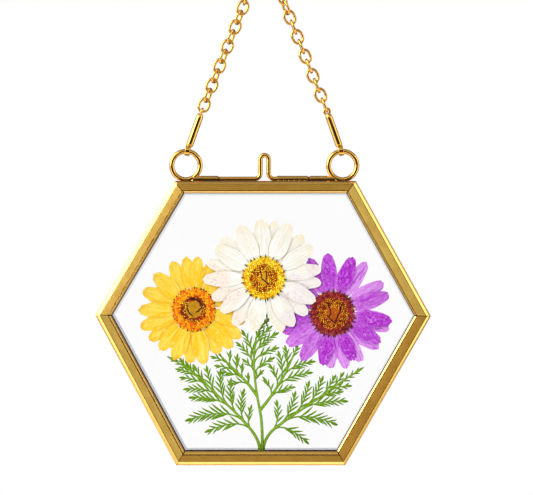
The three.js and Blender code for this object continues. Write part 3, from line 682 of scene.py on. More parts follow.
class PlantFinish(Finish):
    """A dried petal or leaf."""

    def __init__(self, name, veins, mottle_scale):
        super().__init__(name)
        self.along, self.across, self.seed = self.mark("along"), self.mark("across"), self.mark("seed")
        self.side = self.maths("ABSOLUTE", self.across)
        self.place = self.place_in_mm()
        self.surface = self.use(PLANT_SURFACE, {
            "Along": self.along, "Across": self.across, "Seed": self.seed, "Veins": veins,
            "Place": self.place, "Mottle Scale": mottle_scale,
        })
        self.overlap = self.use(OVERLAP, {
            "Below": self.mark("below"), "Above": self.mark("above"), "Across": self.across,
        })

    def ground(self, single, doubled, stain, vein_depth, stain_amount):
        """One colour where a petal lies alone, another where petals lie on each other."""
        self.colour = self.blend(self.overlap["Doubled"], srgb(*single), srgb(*doubled))
        self.over(self.times(self.surface["Vein"], vein_depth), stain)
        self.over(self.mottled(stain_amount), stain)

    def mottled(self, amount):
        return self.times(self.surface["Mottle"], amount)

    def streaks(self, low, high, strength, fineness, stretch=1.4):
        """Lengthwise lines or blotches in a petal's own directions, as a mask."""
        along, across = self.times(self.along, stretch), self.times(self.across, fineness)
        lines = self.noise(self.vector(along, across, self.seed), 1.0, 3.0, 0.6, 0.4)
        return self.remap(lines, low, high, 0.0, strength)

    def patches(self, low, high, strength, scale, detail, roughness, distortion=0.0):
        spots = self.noise(self.place, scale, detail, roughness, distortion)
        return self.remap(spots, low, high, 0.0, strength)

    def laid(self, line, roughness, shadow):
        """The finished petal, with its edges drawn over others and shadows under them."""
        self.over(self.times(self.overlap["Edge Line"], 0.7), line)
        self.over(self.times(self.overlap["Shadow"], shadow), line, "MULTIPLY")
        rough = self.remap(self.surface["Mottle"], 0, 1, roughness - 0.1, roughness + 0.1)
        inputs = {"Roughness": rough, "Specular IOR Level": 0.25}
        return self.done(inputs, self.surface["Height"], 0.05)


def white_petal():
    petal = PlantFinish("white_petal", 9.0, 0.22)
    petal.ground((247, 244, 232), (250, 248, 242), (244, 234, 208), 0.2, 0.3)
    petal.over(petal.remap(petal.along, 0.6, 0.12, 0.0, 0.8), (252, 253, 248))
    petal.over(petal.streaks(0.52, 0.68, 0.7, 11.0), (230, 222, 200))
    petal.over(petal.streaks(0.5, 0.36, 0.9, 8.0), (255, 255, 252))
    petal.over(petal.patches(0.56, 0.68, 0.6, 0.7, 4.0, 0.7), (234, 222, 190))
    petal.over(petal.mottled(petal.remap(petal.along, 0.7, 1.0, 0.0, 0.6)), (250, 228, 178))
    on_yellow = petal.remap(petal.mark("on_yellow"), -1.2, 1.4, 0.0, 0.6)
    petal.over(on_yellow, (252, 234, 220))
    on_purple = petal.remap(petal.mark("on_purple"), -1.2, 1.4, 0.0, 0.55)
    petal.over(on_purple, (243, 232, 238))
    coloured_below = petal.maths("MAXIMUM", on_yellow, on_purple)
    freckles = petal.patches(0.54, 0.66, 1.0, 0.9, 3.0, 0.7)
    petal.over(petal.times(freckles, coloured_below), (224, 190, 180))
    rim = petal.remap(petal.maths("MAXIMUM", petal.side, petal.along), 0.94, 0.985)
    petal.over(petal.times(rim, coloured_below), (255, 255, 250))
    return petal.laid((170, 148, 96), 0.75, 0.16)


def yellow_petal():
    petal = PlantFinish("yellow_petal", 6.0, 0.3)
    petal.ground((255, 226, 80), (255, 208, 30), (255, 196, 6), 0.4, 0.45)
    petal.over(petal.streaks(0.54, 0.7, 0.6, 6.0, 2.4), (252, 182, 4))
    petal.over(petal.streaks(0.48, 0.32, 0.7, 5.0, 2.0), (255, 234, 120))
    petal.over(petal.patches(0.52, 0.68, 0.6, 0.5, 4.0, 0.7, 0.8), (255, 234, 124))
    petal.over(petal.patches(0.62, 0.72, 0.5, 0.9, 3.0, 0.6), (250, 168, 0))
    petal.over(petal.mottled(petal.remap(petal.along, 0.84, 1.0, 0.0, 0.7)), (248, 164, 6))
    return petal.laid((240, 140, 0), 0.7, 0.22)


def purple_petal():
    petal = PlantFinish("purple_petal", 6.0, 0.5)
    petal.ground((242, 182, 252), (214, 118, 236), (222, 140, 240), 0.3, 0.4)
    deep = petal.times(petal.mark("shade"), petal.remap(petal.side, 0.7, 1.0, 1.0, 0.35))
    petal.over(deep, (190, 52, 214))
    petal.over(petal.times(petal.streaks(0.44, 0.58, 1.0, 4.5, 7.0), deep), (158, 0, 186))
    petal.over(petal.patches(0.53, 0.62, 0.8, 0.75, 3.0, 0.6, 1.2), (222, 140, 240))
    petal.over(petal.streaks(0.5, 0.62, 0.85, 5.5, 3.4), (178, 52, 204))
    petal.over(petal.remap(petal.along, 0.3, 0.0, 0.0, 0.4), (224, 150, 240))
    return petal.laid((140, 10, 170), 0.7, 0.2)


def leaf_green():
    leaf_finish = PlantFinish("pressed_leaf", 2.0, 0.9)
    side = leaf_finish.side
    leaf_finish.colour = leaf_finish.blend(
        leaf_finish.remap(side, 0.05, 0.75), srgb(70, 116, 0), srgb(128, 170, 22),
    )
    leaf_finish.over(leaf_finish.mottled(0.4), (100, 148, 2))
    stalk = leaf_finish.blend(
        leaf_finish.remap(side, 0.35, 0.95), srgb(132, 174, 28), srgb(76, 118, 0),
    )
    leaf_finish.colour = leaf_finish.blend(leaf_finish.mark("stalk"), leaf_finish.colour, stalk)
    # Painted shade where the stem runs in under the frame's lip.
    leaf_finish.over(leaf_finish.mark("foot"), (38, 82, 16))
    leaf_finish.over(leaf_finish.times(leaf_finish.overlap["Doubled"], 0.45), (60, 104, 18))
    leaf_finish.over(leaf_finish.times(leaf_finish.overlap["Shadow"], 0.3), (40, 70, 16))
    rough = leaf_finish.remap(leaf_finish.surface["Mottle"], 0, 1, 0.6, 0.8)
    inputs = {"Roughness": rough, "Specular IOR Level": 0.2}
    return leaf_finish.done(inputs, leaf_finish.surface["Height"], 0.04)


def floret_finish(name, roughness):
    """Dried florets, each with its own colour, darker in places."""
    finish = Finish(name)
    finish.colour = finish.add("ShaderNodeAttribute", attribute_name="colour").outputs["Color"]
    grain = finish.noise(finish.place_in_mm(), 2.5, 3.0, 0.65)
    finish.over(finish.remap(grain, 0.5, 0.75, 0.0, 0.12), (70, 34, 8), "MULTIPLY")
    rough = finish.remap(grain, 0.3, 0.7, roughness - 0.1, roughness + 0.1)
    return finish.done({"Roughness": rough, "Specular IOR Level": 0.2}, grain, 0.08)


# The two satin colours are a lit and a shaded copy of one brass, mixed per rail as painted light.
satin_brass = brushed_brass("satin_brass", (248, 210, 104), (188, 140, 46))
polished_edge = brass("polished_edge", (242, 192, 88), (234, 180, 74), 0.2, 2.0)
polished_brass = brass("polished_brass", (240, 184, 70), (228, 166, 54), 0.14, 1.5)
glass = clear_glass()
petal_finishes = {"white": white_petal(), "yellow": yellow_petal(), "purple": purple_petal()}
pressed_leaf = leaf_green()
floret_roughness = {"white": 0.75, "yellow": 0.8, "purple": 0.8}
floret_finishes = {
    name: floret_finish(f"{name}_flower_florets", value) for name, value in floret_roughness.items()
}


# Frame
def rail_outline(chamfer):
    """A rail's section and, at each of its points, the direction into the metal."""
    outline = rounded_outline([(chamfer, 0, 0.2), (0, chamfer, 0.2), *RAIL_FACE, *RAIL_INSIDE])
    lengths = np.linalg.norm(np.diff(outline, axis=0, prepend=outline[-1:]), axis=1)
    outline = outline[lengths > 1e-4]
    tangent = np.roll(outline, -1, 0) - np.roll(outline, 1, 0)
    inward = np.stack([-tangent[:, 1], tangent[:, 0]], 1)
    inward /= np.linalg.norm(inward, axis=1)[:, None]
    facing = np.sign(np.sum(inward * (RAIL_CORE - outline), axis=1))
    return outline, -inward if np.sum(facing) < 0 else inward


def mitre_slope(index, end):
    """How far a mitre runs along the rail for each millimetre inwards, where two widths meet."""
    corner = (index + (end > 0)) % 6
    here = np.array(FRAME_CORNERS[corner])
    before = np.array(FRAME_CORNERS[corner - 1]) - here
    after = np.array(FRAME_CORNERS[(corner + 1) % 6]) - here
    opening = math.acos(before @ after / np.linalg.norm(before) / np.linalg.norm(after))
    own, other = (RAILS[RAIL_ORDER[i % 6]][0][2] for i in (index, index + end))
    return (other + own * math.cos(opening)) / (own * math.sin(opening))


def own_section(name, chamfer):
    """A rail's outline with its own chamfer and face widths, its inward directions and its painted shade."""
    outline, inward = rail_outline(chamfer)
    inset = outline[:, 0].copy()
    # Painted shade in the creases of the section, and on the inner bevel of the lip.
    tarnish = 0.75 * sum(np.exp(-((inset - crease) / 0.1) ** 2) for crease in CREASES)
    tarnish += 0.9 * np.clip((inset - 5.3) / 0.5, 0, 1)
    # Painted shadow of the latch tubes along the top rail's outer edge.
    if name == "top":
        tarnish += 0.85 * np.clip(1.2 - inset / 0.6, 0, 1)
    outline[:, 0] = np.interp(inset, (0, *CREASES, LIP), (0, *RAILS[name][0]))
    return outline, inward, inset, tarnish


def rail(side, index):
    """One mitred rail of the front or back half, from its first corner to the next."""
    (x1, z1), (x2, z2) = FRAME_CORNERS[index], FRAME_CORNERS[(index + 1) % 6]
    name = RAIL_ORDER[index]
    length = math.hypot(x2 - x1, z2 - z1)
    rows, marks_along, dark = [], [], []
    for end in (-1, 1):
        meets_hinge = "bottom" in (name, RAIL_ORDER[(index + end) % 6])
        chamfer = HINGE_CHAMFER if meets_hinge else PARTING_CHAMFER
        outline, inward, inset, tarnish = own_section(name, chamfer)
        slope = mitre_slope(index, end)
        # Painted shade darkens the groove along each mitre.
        for ease in (MITRE_EASE, 0.0)[::-end]:
            dark.append(np.maximum(tarnish, ease / MITRE_EASE))
            section = outline + inward * ease
            along = length / 2 - outline[:, 0] * slope - MITRE_GAP / 2 - (MITRE_EASE - ease)
            y = PARTING_Y + side * (PARTING_GAP / 2 + section[:, 1])
            rows.append(np.stack([end * along, y, -section[:, 0]], 1))
            marks_along.append(end * along)
    across = np.cumsum(np.linalg.norm(np.diff(outline, axis=0, prepend=outline[:1]), axis=1))
    middle = (inset + np.roll(inset, -1)) / 2
    depth = (outline[:, 1] + np.roll(outline[:, 1], -1)) / 2
    satin = (middle > SATIN_BAND[0]) & (middle < SATIN_BAND[1]) & (depth > SATIN_DEPTH)
    finishes = np.append(np.tile(~satin, len(rows) - 1), (1, 1))
    points = turned(np.concatenate(rows), math.atan2(z1 - z2, x2 - x1))
    points += ((x1 + x2) / 2, 0, (z1 + z2) / 2)
    shape = Shape()
    shape.add(
        points, capped_tube_faces(len(rows), len(outline)), finishes,
        along=np.concatenate(marks_along), across=np.tile(across, len(rows)),
        seed=index * 7 + side * 3, tone=RAILS[name][1], tarnish=np.concatenate(dark),
    )
    if name == "bottom":
        add_hinge(shape, side)
    half = "front" if side == FRONT else "back"
    shape.make(
        f"{half}_{name}_rail_finish", f"{half}_frame", [satin_brass, polished_edge],
        [f"{half}_rail_{name}"], smooth=35, slot="satin_brass", grain=True,
    )


def add_hinge(shape, side):
    """Rolled knuckles and the strips that join them to their own rail."""
    axis = np.array((0.0, PARTING_Y, BOTTOM_EDGE + HINGE_AXIS_RISE))
    if side == FRONT:
        spans, bore = [(0.0, MIDDLE_KNUCKLE)], HINGE_PIN
        pin = [(-HINGE_LENGTH / 2, 0, 0), (HINGE_LENGTH / 2, 0, 0)]
        points, faces = sweep(*with_round_ends(pin, HINGE_PIN, 0.12))
        shape.add(points + axis, faces, 1)
    else:
        length = (HINGE_LENGTH - MIDDLE_KNUCKLE) / 2 - KNUCKLE_GAP
        spans = [(hand * (HINGE_LENGTH - length) / 2, length) for hand in (-1, 1)]
        bore = BARREL_BORE
    near, far = WEB_SPAN
    corners = (-WEB_HALF, near), (WEB_HALF, near), (WEB_HALF, far), (-WEB_HALF, far)
    u, d = rounded_outline([(*corner, 0.05) for corner in corners]).T
    turn = math.radians(45)
    y = side * (d * math.sin(turn) - u * math.cos(turn))
    z = d * math.cos(turn) + u * math.sin(turn)
    for x, length in spans:
        points, faces = sleeve(BARREL_RADIUS, bore, length, 20, 0.1)
        shape.add(points + axis + (x, 0, 0), faces, 1)
        ends = [np.stack([np.full(len(u), x + s * length / 2), y, z], 1) for s in (-1, 1)]
        shape.add(np.concatenate(ends) + axis, capped_tube_faces(2, len(u)), 1)


def dress_panes():
    for node in ("front_pane", "back_pane"):
        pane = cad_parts[node]
        pane.data.materials.clear()
        pane.data.materials.append(glass)
        weld = pane.modifiers.new("weld", "WELD")
        weld.merge_threshold = 1e-6
        seam = pane.modifiers.new("seamed edge", "BEVEL")
        seam.width = PANE_SEAM * METRES
        seam.segments = 2
        seam.limit_method = "ANGLE"


# Rings, tubes and latch
def fillet(height, foot, neck, flatness, place, stretch):
    """A solder fillet: wide at its foot, drawn up to a neck."""
    t = np.linspace(0, 1, 7)
    flank = zip(neck + (foot - neck) * (1 - t) ** 2.4, height * t)
    points, faces = lathe([(0.02, 0.0), *flank, (0.02, height * 1.05)], 24)
    return points * (stretch, flatness, 1) + place, faces


def corner_ring(side, hand):
    centre = middle_of(f"{side}_corner_ring")
    shape = Shape()
    shape.add(*sweep(upright_ring(RING_RADIUS, 72) + centre, RING_WIRE, 20, closed=True))
    for shift, height, width, neck, stretch in (
        (0.0, 1.7, 1.5, 0.7, 1.5), (-3.2, 1.9, 1.6, 0.9, 1.0), (2.3, 1.2, 1.2, 0.5, 1.2),
    ):
        foot = (centre[0] + hand * shift, PARTING_Y, TOP_EDGE - 0.5)
        shape.add(*fillet(height, width, neck, 0.85, foot, stretch))
    shape.make(f"{side}_soldered_ring", "back_frame", [polished_brass], [f"{side}_corner_ring"])


def latch_tube(side):
    """A tube soldered to the top rail of its own half."""
    start, end = TUBE_SPANS[side]
    _, y, z = middle_of(f"{side}_latch_tube")
    tube, faces = sleeve(TUBE_RADIUS, TUBE_BORE, end - start, 32)
    # Painted shade at both ends of the tube, where it meets its neighbours.
    rim = 0.7 * np.clip((np.abs(tube[:, 0]) - (end - start) / 2 + 0.13) / 0.1, 0, 1)
    shape = Shape()
    shape.add(tube + ((start + end) / 2, y, z), faces, tarnish=rim)
    seam_y = PARTING_Y + (FRONT if side == "middle" else BACK) * SEAM_OUT
    for share in np.linspace(0.08, 0.92, TUBE_SEAMS):
        place = (start + (end - start) * share, seam_y, TOP_EDGE - SEAM_DROP)
        shape.add(*fillet(1.0, 1.1, 0.5, 0.4, place, 1.3))
    body = "front_frame" if side == "middle" else "back_frame"
    shape.make(
        f"{side}_tube_finish", body, [polished_brass], [f"{side}_latch_tube"], smooth=50,
    )


def latch_wire():
    axis_z = middle_of("left_latch_tube")[2]
    flare = LATCH_LEG + LATCH_FLARE
    path = np.array([
        (LATCH_TIPS[0] - LATCH_CENTRE, 0, 0), (-flare - 6, 0, 0),
        *arc(-flare, LATCH_FLARE, LATCH_FLARE, -90, 0, 10),
        *arc(0, LATCH_RISE, LATCH_LEG, 180, 0, 18),
        *arc(flare, LATCH_FLARE, LATCH_FLARE, 180, 270, 10),
        (flare + 6, 0, 0), (LATCH_TIPS[1] - LATCH_CENTRE, 0, 0),
    ])
    path += (LATCH_CENTRE, PARTING_Y, axis_z)
    points, faces = sweep(*with_steps(*with_round_ends(path, LATCH_WIRE, 0.3), 0.3), 20)
    beside_left = TUBE_SPANS["left"][1] + 0.35
    between = (TUBE_SPANS["middle"][1] + TUBE_SPANS["right"][0]) / 2
    # Painted shade on the wire's underside, beside the left tube and between the others.
    low = points[:, 2] < axis_z + LATCH_WIRE + 0.1
    tarnish = low * sum(
        np.exp(-((points[:, 0] - x) / reach) ** 4) for x, reach in ((beside_left, 0.35), (between, 0.5))
    )
    shape = Shape()
    shape.add(points, faces, tarnish=tarnish)
    piece = shape.make("sprung_latch", "latch", [polished_brass], ["latch_wire"])
    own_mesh(piece)


# Hanger
def hanging_ring():
    path = upright_ring(HANGER_RADIUS, 96, math.pi / 2) + middle_of("hanging_ring")
    radii = np.full(len(path), HANGER_WIRE)
    radii[0] -= HANGER_JOINT
    shape = Shape()
    shape.add(*sweep(path, radii, 20, closed=True))
    shape.make("hanging_ring_finish", "hanger", [polished_brass], ["hanging_ring"])


def link_turn(hand, number):
    """How far a link is turned about the line of its chain; the upper links twist."""
    quarter = math.pi / 2
    if hand < 0:
        lean = LINK_LEAN if number <= TWIST_FREE_LINKS else quarter
        return lean if number % 2 == 0 else 0.0
    extra = max(0, number - TWIST_FREE_LINKS) / (LINKS - TWIST_FREE_LINKS)
    return (0.0 if number % 2 == 0 else quarter) + extra * quarter


def chain_link(side, hand, number):
    node = f"{side}_chain_link_{number}"
    c, s = circle(44)
    x = LINK_HALF_WIDTH * np.sign(c) * np.abs(c) ** LINK_SQUARENESS
    z = LINK_HALF_LENGTH * np.sign(s) * np.abs(s) ** LINK_SQUARENESS
    points, faces = sweep(np.stack([x, np.zeros(44), z], 1), LINK_WIRE, closed=True)
    x, y, z = points.T
    c, s = math.cos(link_turn(hand, number)), math.sin(link_turn(hand, number))
    points = turned(np.stack([x * c - y * s, x * s + y * c, z], 1), -hand * CHAIN_TILT)
    shape = Shape()
    shape.add(points + middle_of(node), faces)
    shape.make(f"{side}_link_{number}_finish", "hanger", [polished_brass], [node])


def tube_connector(side, hand):
    """A tube drawn to an eye above and flattened to a strap round the ring's wire below."""
    ring = middle_of(f"{side}_corner_ring")
    out, up = RING_RADIUS * math.sin(EYE_SEAT), RING_RADIUS * math.cos(EYE_SEAT)
    eye = np.array((hand * (abs(ring[0]) - out), PARTING_Y, ring[2] + up))
    eye += EYE_LIFT * np.array((-hand * math.sin(BAR_TILT), 0, math.cos(BAR_TILT)))
    c, s = circle(28)
    bar = [np.stack([wide * c, deep * s, np.full(28, z)], 1) for wide, deep, z in BAR_ROUNDS]
    strap, strap_faces = sleeve(STRAP_RADIUS, STRAP_BORE, STRAP_WIDTH, 32, 0.25)
    turn = 0 if hand > 0 else math.pi / 2
    c, s = circle(36)
    loop = np.stack([
        UPPER_EYE_RADIUS * c * math.cos(turn), UPPER_EYE_RADIUS * c * math.sin(turn),
        UPPER_EYE_RADIUS * s + BAR_EYE_SPAN,
    ], 1)
    shape = Shape()
    for points, faces in (
        (np.concatenate(bar), capped_tube_faces(len(bar), 28)),
        (turned(strap, hand * STRAP_TURN), strap_faces),
        sweep(loop, UPPER_EYE_WIRE, closed=True),
    ):
        shape.add(turned(points, -hand * BAR_TILT) + eye, faces)
    shape.make(
        f"{side}_connector_finish", "hanger", [polished_brass], [f"{side}_tube_connector"], smooth=50,
    )


# Petals
class Petal:
    """One petal's outline, used to lay it out and to find what lies over or under it."""

    def __init__(self, centre, flower, angle, reach, width, layer, shade, bend):
        self.centre = centre
        self.start = flower["disc"] * 0.84
        self.length = reach - self.start
        self.half = width / 2
        self.layer, self.shade, self.bend = layer, shade, bend
        self.foot, self.notch = flower["foot"], flower["notch"]
        self.out, self.left = directions(math.radians(angle))
        self.notches = [
            (rng.uniform(low, high), rng.uniform(0.3, 1.0)) for low, high in ((-0.45, -0.1), (0.1, 0.45))
        ]
        self.seed = rng.uniform(0, 50)
        self.wave = rng.uniform(0, 2 * math.pi)

    def half_width(self, t):
        t = np.clip(t, 0, 1)
        swell = np.sin(np.pi / 2 * np.minimum(t / 0.6, 1)) ** 1.1
        fall = 1 - 0.26 * np.clip((t - 0.6) / 0.4, 0, 1) ** 2
        ripple = 1 + 0.02 * np.sin(9 * t + self.wave)
        return self.half * (self.foot + (1 - self.foot) * swell) * fall * ripple

    def full_length(self, s):
        tip = 1.35 * self.half * (1 - (1 - np.minimum(np.abs(s), 1) ** 2) ** 0.5)
        bite = sum(depth * np.exp(-((s - at) / 0.15) ** 2) for at, depth in self.notches)
        return self.length - tip - self.notch * bite

    def lay_out(self, t, s):
        along = self.start + t * self.full_length(s)
        across = s * self.half_width(t) + self.bend * t ** 2
        return self.centre + along[..., None] * self.out + across[..., None] * self.left

    def depth_inside(self, places):
        """Signed distance in from the outline, negative outside."""
        offset = places - self.centre
        along, across = offset @ self.out - self.start, offset @ self.left
        t = along / self.length
        across = np.abs(across - self.bend * np.clip(t, 0, 1) ** 2)
        half = self.half_width(t)
        end = self.full_length(np.clip(across / half, 0, 0.999)) - along
        return np.minimum(np.minimum(half - across, end), along)


def directions(turn):
    """The directions outwards and to the left, in the frame's plane."""
    return np.array((math.cos(turn), math.sin(turn))), np.array((-math.sin(turn), math.cos(turn)))


PETAL_ROWS = 44
PETAL_COLUMNS = 19
SHEET = 0.05
FAR_OUTSIDE = -3.0

flower_petals = {}
for flower_name, flower in FLOWERS.items():
    flower["centre"] = middle_of(f"{flower_name}_disc")[[0, 2]]
    flower_petals[flower_name] = [Petal(flower["centre"], flower, *row) for row in flower["petals"]]


def deepest(petals, places):
    """How far inside any of the petals each place lies, negative outside them all."""
    if not petals:
        return np.full(len(places), FAR_OUTSIDE)
    return np.clip(np.max([p.depth_inside(places) for p in petals], 0), FAR_OUTSIDE, -FAR_OUTSIDE)


def both_sides(values):
    """The values of a sheet's front, and the same again for its back."""
    return np.concatenate([values, values[:, ::-1]], 1).ravel()


def sheet_points(places, front, back):
    """The front of a sheet and its back, row by row."""
    near, far = (
        np.stack([places[..., 0], np.broadcast_to(depth, places.shape[:2]), places[..., 1]], 2)
        for depth in (front, back)
    )
    return np.concatenate([near, far[:, ::-1]], 1)


def sheet_faces(rows, columns):
    """Front and back of a sheet as one tube, closed at both ends."""
    loop = 2 * columns
    faces = grid_faces(rows, loop, around=True)
    last = (rows - 1) * loop
    for j in range(columns - 1):
        faces.append((j + 1, j, loop - 1 - j, loop - 2 - j))
        faces.append((last + j, last + j + 1, last + loop - 2 - j, last + loop - 1 - j))
    return faces


def petals(name):
    """All petals of one flower, each with what lies above and below it marked."""
    flower, own = FLOWERS[name], flower_petals[name]
    t = np.linspace(0, 1, PETAL_ROWS) ** 0.9
    s = np.sin(np.linspace(-1, 1, PETAL_COLUMNS) * math.pi / 2)
    grid_t, grid_s = np.meshgrid(t, s, indexing="ij")
    faces = sheet_faces(PETAL_ROWS, PETAL_COLUMNS)
    shape = Shape()
    for index, one in enumerate(own):
        places = one.lay_out(grid_t, grid_s)
        level = flower["back"] - flower["step"] * (one.layer + 0.3 * (index % 3) / 3)
        crown = 0.03 * (1 - grid_s ** 2) + 0.012 * np.sin(7 * grid_t + one.wave) * (1 - grid_s ** 2)
        rim = 0.018 * (np.abs(grid_s) > 0.99)
        others = {
            "above": [p for p in own if p.layer > one.layer],
            "below": [p for p in own if p.layer < one.layer],
        }
        if name == "white":
            others |= {"on_yellow": flower_petals["yellow"], "on_purple": flower_petals["purple"]}
        else:
            others["above"] += flower_petals["white"]
        marks = {"along": grid_t, "across": grid_s}
        for key, petals_there in others.items():
            marks[key] = deepest(petals_there, places.reshape(-1, 2)).reshape(grid_t.shape)
        marks = {key: both_sides(values) for key, values in marks.items()}
        points = sheet_points(places, level - SHEET - crown + rim, level - rim)
        shape.add(points, faces, seed=one.seed, shade=one.shade, **marks)
    shape.make(
        f"{name}_pressed_petals", "back_frame", [petal_finishes[name]], [f"{name}_petals"], smooth=50,
        slot=f"{name}_petal",
    )


# Flower discs: each zone is (outer share, how full it is, floret size, tones)
DISC_SIDES = 72
CRACK_HALF_WIDTH = 0.03
DISCS = {
    "white": {
        "dome": 0.42, "back": -0.62, "pitch": 0.8,
        "zones": [
            (0.22, 0.5, 0.3, palette((236, 168, 16), (214, 140, 4))),
            (0.66, 1.0, 0.35, palette(
                (255, 204, 24), (255, 160, 4), (255, 220, 50), (222, 104, 0), (255, 190, 16), (160, 62, 0),
            )),
            (1.0, 1.0, 0.52, palette(
                (255, 222, 30), (252, 200, 8), (255, 234, 80), (240, 178, 0), (255, 212, 16), (222, 150, 0),
            )),
        ],
        "patch": palette((240, 176, 16), (214, 146, 4)), "patch_size": 0.26,
        "cracks": [
            [(-0.16, 0.3), (-0.12, 0.12), (-0.1, -0.02), (0.04, -0.14), (0.18, -0.26)],
            [(0.12, 0.2), (0.14, 0.05), (0.1, -0.12)],
        ],
        "ground": palette((120, 46, 0), (190, 120, 0)),
    },
    "yellow": {
        "dome": 0.6, "back": -0.05, "pitch": 0.84,
        "zones": [
            (0.38, 0.6, 0.3, palette((204, 150, 16), (176, 122, 8))),
            (0.62, 0.9, 0.33, palette(
                (255, 186, 24), (250, 134, 4), (170, 50, 2), (255, 204, 50), (222, 88, 2), (140, 36, 2),
            )),
            (1.0, 1.0, 0.56, palette(
                (255, 172, 4), (255, 146, 0), (255, 190, 20), (244, 116, 0), (255, 160, 0), (226, 100, 0),
            )),
        ],
        "patch": palette((222, 160, 16), (176, 116, 4)), "patch_size": 0.4,
        "cracks": [
            [(-0.3, 0.2), (-0.3, 0.02), (-0.22, -0.14), (-0.06, -0.28)],
            [(0.42, 0.2), (0.36, 0.08), (0.24, -0.06), (0.12, -0.12)],
            [(0.24, 0.42), (0.3, 0.3), (0.3, 0.16)],
            [(-0.3, 0.42), (-0.16, 0.5), (0.02, 0.5), (0.16, 0.44)],
        ],
        "ground": palette((120, 36, 0), (236, 108, 0)),
    },
    "purple": {
        "dome": 0.6, "back": -0.05, "pitch": 0.8,
        "zones": [
            (0.28, 0.7, 0.3, palette((228, 112, 8), (196, 84, 2), (176, 96, 8))),
            (0.72, 1.0, 0.31, palette(
                (255, 160, 14), (255, 200, 40), (226, 98, 2), (250, 140, 10), (170, 50, 2),
            )),
            (1.0, 1.0, 0.5, palette(
                (172, 54, 50), (146, 36, 38), (192, 78, 62), (112, 22, 30), (160, 44, 44),
            )),
        ],
        "patch": palette((214, 100, 4), (150, 70, 2)), "patch_size": 0.36,
        "cracks": [
            [(-0.2, 0.46), (-0.14, 0.28), (-0.08, 0.12), (-0.08, -0.04), (-0.14, -0.12)],
            [(0.4, 0.34), (0.34, 0.1), (0.24, -0.1), (0.14, -0.34)],
            [(-0.24, -0.1), (-0.08, -0.26), (0.1, -0.42)],
        ],
        "ground": palette((90, 22, 0), (96, 20, 26)),
    },
}
BRACTS = {  # how many, their lengths and their tones
    "white": (22, (0.7, 1.3), palette((60, 52, 14), (96, 88, 24), (30, 24, 8), (120, 104, 40))),
    "yellow": (40, (0.4, 0.8), palette((24, 16, 8), (222, 222, 214), (54, 40, 20), (34, 24, 12))),
    "purple": (36, (0.9, 1.7), palette(
        (70, 34, 12), (92, 84, 24), (60, 40, 12), (50, 24, 14), (236, 228, 180),
    )),
}
CUP_RINGS = ((7.6, 0.0), (6.2, 0.06), (4.6, 0.12))
CUP_SCALES = 26


def floret(radius, height, lean, sides=6):
    """A small blunt bud standing out of the disc towards the front."""
    rows = [
        upright_ring(radius * share, sides, lean) - (0, height * rise, 0)
        for share, rise in ((1.0, 0.0), (0.92, 0.45), (0.55, 0.9))
    ]
    faces = grid_faces(3, sides, around=True)
    faces += [(2 * sides + i, 2 * sides + (i + 1) % sides, 3 * sides) for i in range(sides)]
    return np.concatenate([*rows, [(0.0, -height, 0.0)]]), faces


def distance_to_lines(places, lines):
    """Distance from each place to the nearest stretch of any line."""
    nearest = np.full(len(places), 1e3)
    for line in lines:
        for a, b in zip(line, line[1:]):
            a, b = np.array(a), np.array(b)
            t = np.clip(((places - a) @ (b - a)) / ((b - a) @ (b - a)), 0, 1)
            nearest = np.minimum(nearest, np.linalg.norm(places - a - t[:, None] * (b - a), axis=1))
    return nearest


def disc_base(radius, dome, back):
    """The low mound that the florets stand on."""
    shares = np.linspace(0, 1, 30)[1:]
    rings = [
        upright_ring(radius * r, DISC_SIDES) + (0, back - dome * (1 - r ** 3) - 0.12, 0) for r in shares
    ]
    rings.append(upright_ring(radius, DISC_SIDES) + (0, back, 0))
    points = np.concatenate([[(0, back - dome, 0)], *rings, [(0, back, 0)]])
    faces = [tuple(1 + i for i in face) for face in grid_faces(len(rings), DISC_SIDES, around=True)]
    last = len(points) - 1
    for j in range(DISC_SIDES):
        beside = (j + 1) % DISC_SIDES
        faces.append((0, 1 + beside, 1 + j))
        faces.append((last, last - DISC_SIDES + j, last - DISC_SIDES + beside))
    return points, faces


def ground_colours(make, places):
    """The mound's colours, at places given as shares of its radius."""
    share = np.linalg.norm(places, axis=1)[:, None]
    inner, outer = make["ground"]
    fresh, faded = np.array(make["patch"])
    colours = np.where(share < 0.68, inner, outer)
    mixed = fresh + (faded - fresh) * rng.random((len(places), 1))
    colours = np.where(share < make["patch_size"], mixed, colours)
    crack = distance_to_lines(places, make["cracks"])[:, None]
    # The cracks are painted near-black: painted shade inside them.
    return np.where(crack < CRACK_HALF_WIDTH, 0.004, colours)


